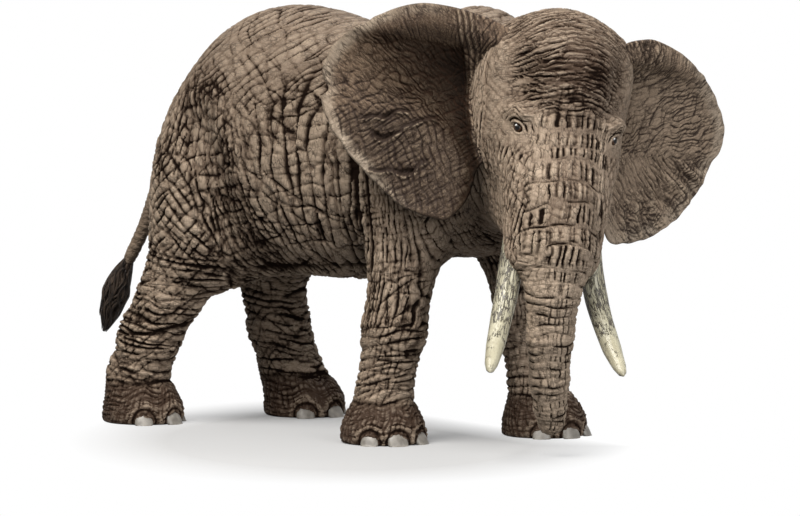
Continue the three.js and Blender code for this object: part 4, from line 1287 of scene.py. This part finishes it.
def make_tail(material, hair):
    root = np.array([rump_x + 0.12 * torso_length, 0, belly_height + 0.59 * torso_depth])
    points = root + tail_length * np.array([(-behind, left, -below) for behind, left, below in TAIL_POINTS])
    rings, sides = ((190, 40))
    path, length = resampled(smooth_path(points, 20), rings)
    shares = np.linspace(0, 1, rings)
    stem = shares <= STEM_END
    radii = np.interp(shares, *TAIL_WIDTHS) * tail_width / 2
    place = around_tube(shares[stem] * length, sides, tail_width / 2)
    relief = Relief(len(place))
    everywhere = np.ones(len(place))
    relief.folds(place, everywhere, 0, 1.3, 5, 0.16, width=0.22, seed=97)
    relief.folds(place, everywhere, 70, 1.2, 3, 0.1, width=0.2, seed=98)
    shape, quads, fans = tube(path[stem], radii[stem], sides, relief.lift.reshape(-1, sides))
    ends = [0, 0]
    attributes = {
        "groove": np.append(relief.groove, ends),
        "lift": np.append(relief.lift, ends),
        # A little painted shade over the whole tail
        "hollow": np.full(len(shape), 0.3),
        "level": np.full(len(shape), 0.8),
        "stain_and_shade": np.full(len(shape), 0.2),
    }
    finish_piece(new_object("tail_skin", shape, [quads, fans], attributes), material, "skin", "tail")
    make_tuft(path[shares >= TUFT_START], hair)


def make_tuft(path, material):
    """A core along the path with strands of hair round it, joined into one piece."""
    luck = np.random.default_rng(5)
    body = np.interp(np.linspace(0, 1, len(path)), *TUFT_WIDTHS) * tuft_width / 2
    across = np.array([0.0, 1, 0])
    out = np.cross(path[-1] - path[0], across)
    out /= np.linalg.norm(out)
    tubes = [tube(path, 0.5 * body, 24)]
    for n in range(1, 151):
        start = int(luck.uniform(0, 0.35) * len(path))
        end = len(path) - int(luck.uniform(0, 0.3) * len(path))
        where = np.arange(start, end)
        along = np.linspace(0, 1, len(where))
        reach = luck.uniform(0.5, 1.0) * body[where]
        twist = 2.4 * n + luck.uniform(-0.7, 0.7) * along
        twist += 0.3 * np.sin(luck.uniform(0, 6) + 9 * along)
        aside, forth = (reach * np.cos(twist))[:, None], (reach * np.sin(twist))[:, None]
        line = path[where] + aside * across + forth * out
        thick = luck.uniform(0.2, 0.36) * np.sin(np.pi * np.linspace(0.12, 1, len(where)) ** 0.8) + 0.03
        tubes.append(tube(line[::2], thick[::2], 6))
    finish_piece(joined("tail_tuft", tubes), material, "skin", "tail")


def joined(name, parts, attributes=None):
    """One object from parts that each have points, quads and triangles."""
    starts = np.cumsum([0] + [len(points) for points, _, _ in parts])
    points = np.vstack([part[0] for part in parts])
    quads = np.vstack([part[1] + start for part, start in zip(parts, starts)])
    fans = np.vstack([part[2] + start for part, start in zip(parts, starts)])
    return new_object(name, points, [quads, fans], attributes)


# Eyes and nails

def dome(centre, axes, radii, count=28):
    """A round, closed shape with its pole along the first of its axes."""
    angles = np.linspace(0, np.pi, count // 2 + 1)[1:-1]
    turns = 2 * np.pi * np.arange(count) / count
    rows = [[1, 0, 0]]
    for angle in angles:
        wide = math.sin(angle)
        rows += [[math.cos(angle), wide * math.cos(turn), wide * math.sin(turn)] for turn in turns]
    rows.append([-1, 0, 0])
    unit = np.array(rows, float)
    points = centre + (unit * np.array(radii)) @ np.array(axes)
    last = 1 + (len(angles) - 1) * count
    quads, fans = [], []
    for n in range(count):
        m = (n + 1) % count
        fans.append([0, 1 + n, 1 + m])
        fans.append([last + m, last + n, len(unit) - 1])
        for ring in range(len(angles) - 1):
            a, b = 1 + ring * count, 1 + (ring + 1) * count
            quads.append([a + n, b + n, b + m, a + m])
    return points, np.array(quads), np.array(fans), unit


def surface_point(field, start, direction, length=12):
    """Where a line from outside first meets a field's surface."""
    steps = np.linspace(0, length, 400)
    line = start + steps[:, None] * direction
    level = field(line)
    return line[np.argmax(level < 0)]


EYE_RADIUS, EYE_SUNK = 1.0, 0.5
EYE_OUTWARD = (0.83, 0.55, 0.05)  # where the left eye looks, in the head's frame
GLINT_AT = np.array([0.77, -0.42, 0.48])  # out of the eye, across it and up it


def make_eye(side, material):
    """A gloss ball that is half sunk in the head, with a painted point of light."""
    outward = np.array(EYE_OUTWARD) * (1, side, 1)
    outward /= np.linalg.norm(outward)
    start = from_head((EYES[side] + 6 * outward)[None])[0]
    eye = to_head(surface_point(head_field, start, -HEAD_TURN @ outward))
    across = np.cross([0, 0, 1], outward)
    across /= np.linalg.norm(across)
    up = np.cross(outward, across)
    centre = eye - (EYE_RADIUS - EYE_SUNK) * outward
    points, quads, fans, unit = dome(centre, (outward, across, up), [EYE_RADIUS] * 3, 60)
    attributes = {"pole": unit[:, 0], "glint": smooth(0.955, 0.985, unit @ GLINT_AT)}
    made = new_object("right_eye" if side < 0 else "left_eye", from_head(points), [quads, fans], attributes)
    finish_piece(made, material, "eye")


# The directions of the nails in degrees from straight ahead, on a fore foot and on a hind foot
NAIL_TURNS = {True: (-70, -30, 12, 54), False: (-48, 0, 48)}
NAIL_RADII = np.array([0.95, 2.2, 2.75])  # out of the foot, along its rim and up
NAIL_LEVEL, NAIL_SUNK, NAIL_LEAN = 0.5, 0.25, 0.38
OUTER_NAIL_TURN, OUTER_NAIL_SHARE = 40, 0.85  # a nail further round than this turn is smaller by this share


def make_nails(name, leg, material):
    """The nails round the front of one foot, joined into one piece."""
    foot = np.array(leg["balls"][-1][0])
    nails, roots = [], []
    for turn in NAIL_TURNS[leg["fore"]]:
        angle = math.radians(-turn * leg["side"])
        outward = np.array([math.cos(angle), math.sin(angle), 0])
        start = foot + 14 * outward
        start[2] = 1.6
        centre = surface_point(body_field, start, -outward, 14) - NAIL_SUNK * outward
        centre[2] = NAIL_LEVEL
        lean = np.array([outward[0] * 0.92, outward[1] * 0.92, NAIL_LEAN])
        across = np.cross([0, 0, 1], outward)
        radii = NAIL_RADII * (1 if abs(turn) < OUTER_NAIL_TURN else OUTER_NAIL_SHARE)
        shape, quads, fans, unit = dome(centre, (lean, across, np.cross(lean, across)), radii)
        shape[:, 2] = np.maximum(shape[:, 2], 0)
        nails.append((shape, quads, fans))
        roots.append(unit[:, 2])
    finish_piece(joined(name, nails, {"root": np.concatenate(roots)}), material, "nail")


# Materials

def colour(red, green, blue):
    """A linear colour from the 0 to 255 values that a screen shows."""
    shares = [value / 255 for value in (red, green, blue)]
    return (*(((s + 0.055) / 1.055) ** 2.4 if s > 0.04 else s / 12.92 for s in shares), 1)


class Nodes:
    """A node tree, with short names for what this script makes of it."""

    def __init__(self, owner):
        owner.use_nodes = True
        self.tree = owner.node_tree

    def node(self, kind, **settings):
        made = self.tree.nodes.new("ShaderNode" + kind)
        for key, value in settings.items():
            setattr(made, key, value)
        return made

    def link(self, value, socket):
        if isinstance(value, bpy.types.NodeSocket):
            self.tree.links.new(value, socket)
        else:
            socket.default_value = value

    def math(self, operation, a, b=0.0, clamp=False):
        made = self.node("Math", operation=operation, use_clamp=clamp)
        self.link(a, made.inputs[0])
        self.link(b, made.inputs[1])
        return made.outputs[0]

    def mix_shaders(self, share, a, b):
        made = self.node("MixShader")
        for socket, value in zip(made.inputs, (share, a, b)):
            self.link(value, socket)
        return made.outputs[0]

    def seen(self):
        """1 for what the camera sees, directly, through glass or in a mirror, and 0 for other light."""
        rays = self.node("LightPath").outputs
        direct = self.math("MAXIMUM", rays["Is Camera Ray"], rays["Is Transmission Ray"])
        return self.math("MAXIMUM", direct, rays["Is Glossy Ray"])


class Paint(Nodes):
    """The nodes of a material."""

    def __init__(self, name):
        self.material = bpy.data.materials.new(name)
        super().__init__(self.material)
        self.shader = self.tree.nodes["Principled BSDF"]
        self.place = self.node("TexCoord").outputs["Object"]

    def set(self, **values):
        """Give the shader's inputs values or links, by their names with low lines for spaces."""
        for key, value in values.items():
            self.link(value, self.shader.inputs[key.replace("_", " ")])

    def mix(self, share, a, b, blend="MIX"):
        made = self.node("Mix", data_type="RGBA", blend_type=blend)
        for key, value in (("Factor", share), ("A", a), ("B", b)):
            self.link(value, made.inputs[key])
        return made.outputs["Result"]

    def ramp(self, value, low, high, to_low=0.0, to_high=1.0):
        made = self.node("MapRange")
        self.link(value, made.inputs["Value"])
        for key, number in zip(("From Min", "From Max", "To Min", "To Max"), (low, high, to_low, to_high)):
            made.inputs[key].default_value = number
        return made.outputs["Result"]

    def attributes(self, *names):
        return [self.node("Attribute", attribute_name=name).outputs["Fac"] for name in names]

    def follow_sheet(self):
        """From here on patterns lie in the piece's own flat millimetres and not in space."""
        flat = self.node("CombineXYZ")
        for value, key in zip(self.attributes("across_mm", "up_mm"), "XY"):
            self.link(self.math("MULTIPLY", value, METRES), flat.inputs[key])
        self.place = flat.outputs[0]

    def noise(self, size, detail=3.0, stretch=(1, 1, 1)):
        made = self.node("TexNoise")
        made.inputs["Scale"].default_value = 1 / (size * METRES)
        made.inputs["Detail"].default_value = detail
        self.link(self.stretched(stretch), made.inputs["Vector"])
        return made.outputs["Fac"]

    def stretched(self, stretch, turn=0):
        """The place to draw a pattern in. A share under 1 draws the pattern out that way."""
        if stretch == (1, 1, 1):
            return self.place
        made = self.node("Mapping", vector_type="TEXTURE")
        made.inputs["Scale"].default_value = [1 / share for share in stretch]
        made.inputs["Rotation"].default_value = (0, 0, math.radians(turn))
        self.link(self.place, made.inputs["Vector"])
        return made.outputs["Vector"]

    def lines(self, size, width, stretch=(1, 1, 1), turn=0):
        """1 on the walls between random cells, fading to 0 at this share of a cell's size."""
        sway = self.node("TexNoise")
        sway.inputs["Scale"].default_value = 0.7 / (size * METRES)
        self.link(self.place, sway.inputs["Vector"])
        shifted = self.node("VectorMath", operation="MULTIPLY_ADD")
        self.link(sway.outputs["Color"], shifted.inputs[0])
        shifted.inputs[1].default_value = [0.6 * size * METRES] * 3
        self.link(self.stretched(stretch, turn), shifted.inputs[2])
        made = self.node("TexVoronoi", feature="DISTANCE_TO_EDGE")
        made.inputs["Scale"].default_value = 1 / (size * METRES)
        self.link(shifted.outputs[0], made.inputs["Vector"])
        return self.ramp(made.outputs["Distance"], 0, width, 1, 0)

    def bump(self, height, distance, under=None):
        made = self.node("Bump")
        made.inputs["Distance"].default_value = distance * METRES
        self.link(height, made.inputs["Height"])
        if under is not None:
            self.link(under, made.inputs["Normal"])
        return made.outputs["Normal"]


def skin_material():
    """Grey-brown paint, dark in the creases and dry-brushed pale on what stands up."""
    light, middle, dark = colour(159, 142, 123), colour(116, 100, 85), colour(24, 17, 13)
    paint = Paint("elephant_skin")
    groove, hollow, lift, level, stain_and_shade = paint.attributes("groove", "hollow", "lift", "level", "stain_and_shade")
    blotch = paint.noise(8, 4)
    faint = paint.noise(2.4, 3)
    grain = paint.noise(0.35, 4)
    upright = paint.math("MULTIPLY", paint.lines(0.75, 0.11, (1, 1, 0.3)), paint.ramp(level, 0.35, 0.9, 1, 0))
    flat = paint.math("MULTIPLY", paint.lines(0.75, 0.11, (0.3, 0.3, 1)), paint.ramp(level, 0.1, 0.6))
    fine = paint.math("MULTIPLY", paint.math("MAXIMUM", upright, flat), paint.ramp(faint, 0.4, 0.6, 0.35, 1))

    high = paint.ramp(lift, -0.14, 0.08)
    tone = paint.math("MULTIPLY", paint.ramp(blotch, 0.3, 0.7, 0.3, 1), high)
    base = paint.mix(tone, middle, light)
    base = paint.mix(paint.ramp(grain, 0.4, 0.7, 0, 0.3), base, light)
    # Below 0 the stain share paints the skin lighter and above 0 darker, partly as painted light and shade
    base = paint.mix(paint.ramp(stain_and_shade, 0, -0.6, 0, 0.7), base, light)
    base = paint.mix(paint.math("MULTIPLY", fine, 0.82), base, dark)
    base = paint.mix(paint.ramp(lift, -0.12, -0.4, 0, 0.5), base, colour(58, 44, 35))
    sunk = paint.math("MULTIPLY", stain_and_shade, paint.ramp(lift, -0.1, 0.14, 1, 0.45), clamp=True)
    base = paint.mix(sunk, base, colour(56, 43, 34))
    # Painted shade: darker where the figure encloses the skin
    base = paint.mix(paint.ramp(hollow, 0.2, 0.75, 0, 0.48), base, dark)
    base = paint.mix(paint.ramp(groove, 0.3, 0.62), base, dark)
    paint.set(
        Base_Color=base,
        Roughness=paint.ramp(grain, 0.3, 0.7, 0.6, 0.8),
        Specular_IOR_Level=paint.ramp(groove, 0.1, 0.5, 0.13, 0),
        Normal=paint.bump(grain, 0.05, under=paint.bump(paint.math("SUBTRACT", 1.0, fine), 0.1)),
    )
    return paint.material


def ear_material():
    """The ears' paint, whose finest lines follow the sheet."""
    paint = Paint("ear_skin")
    groove, lift, band, worn_and_lit = paint.attributes("groove", "lift", "band", "worn_and_lit")
    shade, lower, deep, beside = paint.attributes("shade", "lower", "deep", "beside")
    blotch = paint.noise(7, 4)
    faint = paint.noise(2.4, 3)
    grain = paint.noise(0.3, 4)
    paint.follow_sheet()
    above = paint.math("MULTIPLY", paint.lines(0.7, 0.13, (0.25, 1, 1), 34), paint.ramp(lower, 0, 1, 1, 0))
    below = paint.math("MULTIPLY", paint.lines(0.7, 0.13, (0.25, 1, 1), -42), lower)
    crossed = paint.math("MULTIPLY", paint.lines(0.9, 0.11, (0.25, 1, 1), 66), 0.7)
    fine = paint.math("MAXIMUM", paint.math("MAXIMUM", above, below), crossed)
    fine = paint.math("MULTIPLY", fine, paint.ramp(faint, 0.4, 0.6, 0.3, 1))

    dark = colour(34, 24, 18)
    base = paint.mix(paint.ramp(blotch, 0.3, 0.7), colour(92, 74, 59), colour(118, 99, 81))
    base = paint.mix(beside, base, colour(126, 109, 92))
    base = paint.mix(paint.math("MULTIPLY", band, 0.85), base, colour(76, 59, 45))
    # Darker paint by the deep share, partly painted shade on the near ear's lower half
    base = paint.mix(deep, base, (0.16, 0.14, 0.12, 1), blend="MULTIPLY")
    # Pale paint on the rims, partly wear and partly painted highlight
    rubbed_and_lit = paint.math("MULTIPLY", worn_and_lit, paint.ramp(blotch, 0.35, 0.6, 0.35, 1))
    base = paint.mix(rubbed_and_lit, base, colour(152, 138, 121))
    base = paint.mix(paint.ramp(lift, 0.02, 0.4, 0, 0.7), base, colour(152, 135, 115))
    base = paint.mix(paint.ramp(grain, 0.4, 0.7, 0, 0.25), base, colour(150, 133, 114))
    base = paint.mix(paint.math("MULTIPLY", fine, 0.85), base, dark)
    # Painted shadow in the hollows where the ears meet the head
    base = paint.mix(paint.math("MULTIPLY", shade, 0.97), base, colour(15, 11, 9))
    base = paint.mix(paint.ramp(groove, 0.2, 0.65, 0, 0.92), base, dark)
    paint.set(
        Base_Color=base,
        Roughness=paint.ramp(grain, 0.3, 0.7, 0.6, 0.8),
        Specular_IOR_Level=paint.ramp(shade, 0, 0.5, 0.13, 0),
        Normal=paint.bump(grain, 0.05, under=paint.bump(paint.math("SUBTRACT", 1.0, fine), 0.1)),
    )
    return paint.material


def ivory_material():
    """Ivory paint with fine dark cracks along the tusk, most of them near its root."""
    paint = Paint("aged_ivory")
    [aged] = paint.attributes("aged")
    cloud = paint.noise(4, 3)
    grain = paint.noise(0.4, 4)
    patches = paint.noise(1.8, 3)
    paint.follow_sheet()
    thin = paint.lines(0.5, 0.13, (1, 0.12, 1))
    cracks = paint.math("MAXIMUM", thin, paint.lines(0.85, 0.09, (1, 0.2, 1), 8))
    reach = paint.math("ADD", aged, paint.ramp(patches, 0.35, 0.65, -0.6, 0.4), clamp=True)
    cracks = paint.ramp(paint.math("MULTIPLY", cracks, reach), 0.25, 0.6)
    base = paint.mix(paint.ramp(cloud, 0.3, 0.7), colour(143, 137, 115), colour(168, 163, 141))
    base = paint.mix(paint.ramp(grain, 0.5, 0.75, 0, 0.35), base, colour(116, 107, 84))
    base = paint.mix(paint.math("MULTIPLY", reach, 0.14), base, colour(108, 99, 78))
    base = paint.mix(paint.math("MULTIPLY", cracks, 0.92), base, colour(42, 34, 26))
    paint.set(
        Base_Color=base,
        Roughness=paint.ramp(grain, 0.3, 0.7, 0.36, 0.5),
        Normal=paint.bump(grain, 0.05, under=paint.bump(paint.math("SUBTRACT", 1.0, cracks), 0.12)),
    )
    return paint.material


def nail_material():
    """Grey paint, darker where a nail leaves the skin."""
    paint = Paint("nail")
    [root] = paint.attributes("root")
    cloud = paint.noise(1.6, 4)
    base = paint.mix(paint.ramp(cloud, 0.3, 0.7), colour(86, 81, 74), colour(128, 123, 115))
    base = paint.mix(paint.ramp(root, 0.45, 0.95, 0, 0.7), base, colour(74, 64, 56))
    rough = paint.ramp(cloud, 0.3, 0.7, 0.38, 0.55)
    paint.set(Base_Color=base, Roughness=rough, Normal=paint.bump(cloud, 0.1))
    return paint.material


def eye_material():
    """Glossy brown paint with a black pupil and a white point of light."""
    paint = Paint("eye")
    pole, glint = paint.attributes("pole", "glint")
    base = paint.mix(paint.ramp(paint.noise(0.3, 3), 0.3, 0.7), colour(46, 30, 18), colour(70, 48, 30))
    base = paint.mix(paint.ramp(pole, 0.80, 0.86), base, colour(8, 6, 5))
    base = paint.mix(glint, base, colour(215, 215, 212))
    paint.set(Base_Color=base, Roughness=0.12, Specular_IOR_Level=0.1, Coat_Weight=0.15, Coat_Roughness=0.03)
    return paint.material


def hair_material():
    """Dark paint with streaks along the hair."""
    paint = Paint("tuft")
    streak = paint.noise(0.5, 4, (1, 1, 0.15))
    paint.set(
        Base_Color=paint.mix(paint.ramp(streak, 0.35, 0.7), colour(18, 14, 12), colour(66, 55, 46)),
        Roughness=paint.ramp(streak, 0.3, 0.7, 0.45, 0.65),
        Specular_IOR_Level=0.15,
        Normal=paint.bump(streak, 0.08),
    )
    return paint.material


def make_figure():
    skin, ear_skin, ivory, eye_gloss = skin_material(), ear_material(), ivory_material(), eye_material()
    make_skin(skin)
    for side in (-1, 1):
        make_ear(side, ear_skin)
        make_tusk(side, ivory)
        make_eye(side, eye_gloss)
    make_tail(skin, hair_material())
    nail = nail_material()
    for name, leg in LEGS.items():
        make_nails(name.replace("leg", "nails"), leg, nail)


# Camera, lights and stage

AZIMUTH, ELEVATION = math.radians(38), math.radians(5.8)
CAMERA_DISTANCE = 4  # metres, far enough to see the figure almost without perspective
VIEW_WIDTH = 800 / 4.9  # what the picture shows across, in millimetres at the figure
LOOKED_AT = np.array([0, 0, 35.9])  # by the camera and the lamps
TARGET = Vector((LOOKED_AT + FRAME_SHIFT) * METRES)

# Azimuth and elevation in degrees (azimuth 0 is in front of the camera, negative to its left), distance and
# size in metres, watts, and colour
LAMPS = {
    "key": (-34, 54, 0.6, 0.4, 6.7, (1, 0.98, 0.95)),
    "fill": (34, 14, 0.7, 0.5, 4.9, (0.97, 0.98, 1)),
    "rim": (165, 55, 0.7, 0.4, 2.2, (1, 1, 1)),
}
AMBIENT = 0.27
FLOOR_GREY, FLOOR_GLOW = 0.33, 0.12
FLOOR_SIZE = 3  # metres


def aim(name, data, azimuth, elevation, distance):
    """A camera or lamp at a distance from the figure, that looks at it."""
    flat = math.cos(elevation)
    away = Vector((math.sin(azimuth) * flat, -math.cos(azimuth) * flat, math.sin(elevation)))
    made = bpy.data.objects.new(name, data)
    bpy.context.scene.collection.objects.link(made)
    made.location = TARGET + away * distance
    made.rotation_mode = "QUATERNION"
    made.rotation_quaternion = (-away).to_track_quat("-Z", "Y")
    return made


def make_camera():
    data = bpy.data.cameras.new("camera")
    data.lens = data.sensor_width * CAMERA_DISTANCE / (VIEW_WIDTH * METRES)
    data.clip_start, data.clip_end = 0.1, 100
    bpy.context.scene.camera = aim("camera", data, AZIMUTH, ELEVATION, CAMERA_DISTANCE)


def make_lamps():
    for name, (azimuth, elevation, distance, size, watts, tint) in LAMPS.items():
        data = bpy.data.lights.new(name, "AREA")
        data.shape = "DISK"
        data.size = size
        data.energy = watts
        data.color = tint
        aim(name, data, AZIMUTH + math.radians(azimuth), math.radians(elevation), distance)


def make_world():
    """White where it is seen, and a weaker light from all sides on the figure."""
    world = bpy.data.worlds.new("studio")
    bpy.context.scene.world = world
    nodes = Nodes(world)
    bright = nodes.node("Background")
    bright.inputs["Strength"].default_value = 1
    ambient = nodes.tree.nodes["Background"]
    ambient.inputs["Color"].default_value = (1, 1, 1, 1)
    ambient.inputs["Strength"].default_value = AMBIENT
    both = nodes.mix_shaders(nodes.seen(), ambient.outputs[0], bright.outputs[0])
    nodes.link(both, nodes.tree.nodes["World Output"].inputs["Surface"])


def floor_material():
    """A pale floor that shows the shadows in an oval round the feet, and is as white as the world beyond."""
    paint = Paint("pale_floor")
    paint.set(Base_Color=(FLOOR_GREY, FLOOR_GREY, FLOOR_GREY, 1), Roughness=1, Specular_IOR_Level=0)
    seen = paint.seen()
    glow = paint.node("Emission")
    paint.link(paint.math("MULTIPLY", seen, FLOOR_GLOW), glow.inputs["Strength"])
    lit = paint.node("AddShader")
    paint.link(paint.shader.outputs[0], lit.inputs[0])
    paint.link(glow.outputs[0], lit.inputs[1])
    white = paint.node("Emission")
    paint.link(seen, white.inputs["Strength"])

    oval = paint.node("Mapping", vector_type="TEXTURE")
    oval.inputs["Location"].default_value = (0.0062, -0.0165, 0)
    oval.inputs["Rotation"].default_value = (0, 0, AZIMUTH)
    oval.inputs["Scale"].default_value = (0.05, 0.07, 1)
    paint.link(paint.place, oval.inputs["Vector"])
    distance = paint.node("VectorMath", operation="LENGTH")
    paint.link(oval.outputs["Vector"], distance.inputs[0])
    # Painted light: behind the fore feet the floor is also made white, which hides the shadow of the chest
    # there
    behind = paint.node("VectorMath", operation="DOT_PRODUCT")
    paint.link(oval.outputs["Vector"], behind.inputs[0])
    behind.inputs[1].default_value = (1, 1, 0)
    away = paint.math("MAXIMUM", paint.ramp(distance.outputs["Value"], 0.75, 1.15),
                      paint.ramp(behind.outputs["Value"], 0.62, 1.0))
    surface = paint.mix_shaders(away, lit.outputs[0], white.outputs[0])
    paint.link(surface, paint.tree.nodes["Material Output"].inputs["Surface"])
    return paint.material


def make_floor():
    half = FLOOR_SIZE / 2 / METRES
    corners = np.array([[-half, -half, 0], [half, -half, 0], [half, half, 0], [-half, half, 0]])
    floor = new_object("floor", corners, [np.array([[0, 1, 2, 3]])])
    floor.data.materials.append(floor_material())


make_figure()
make_camera()
make_lamps()
make_world()
make_floor()
bpy.context.scene.view_settings.view_transform = "Standard"
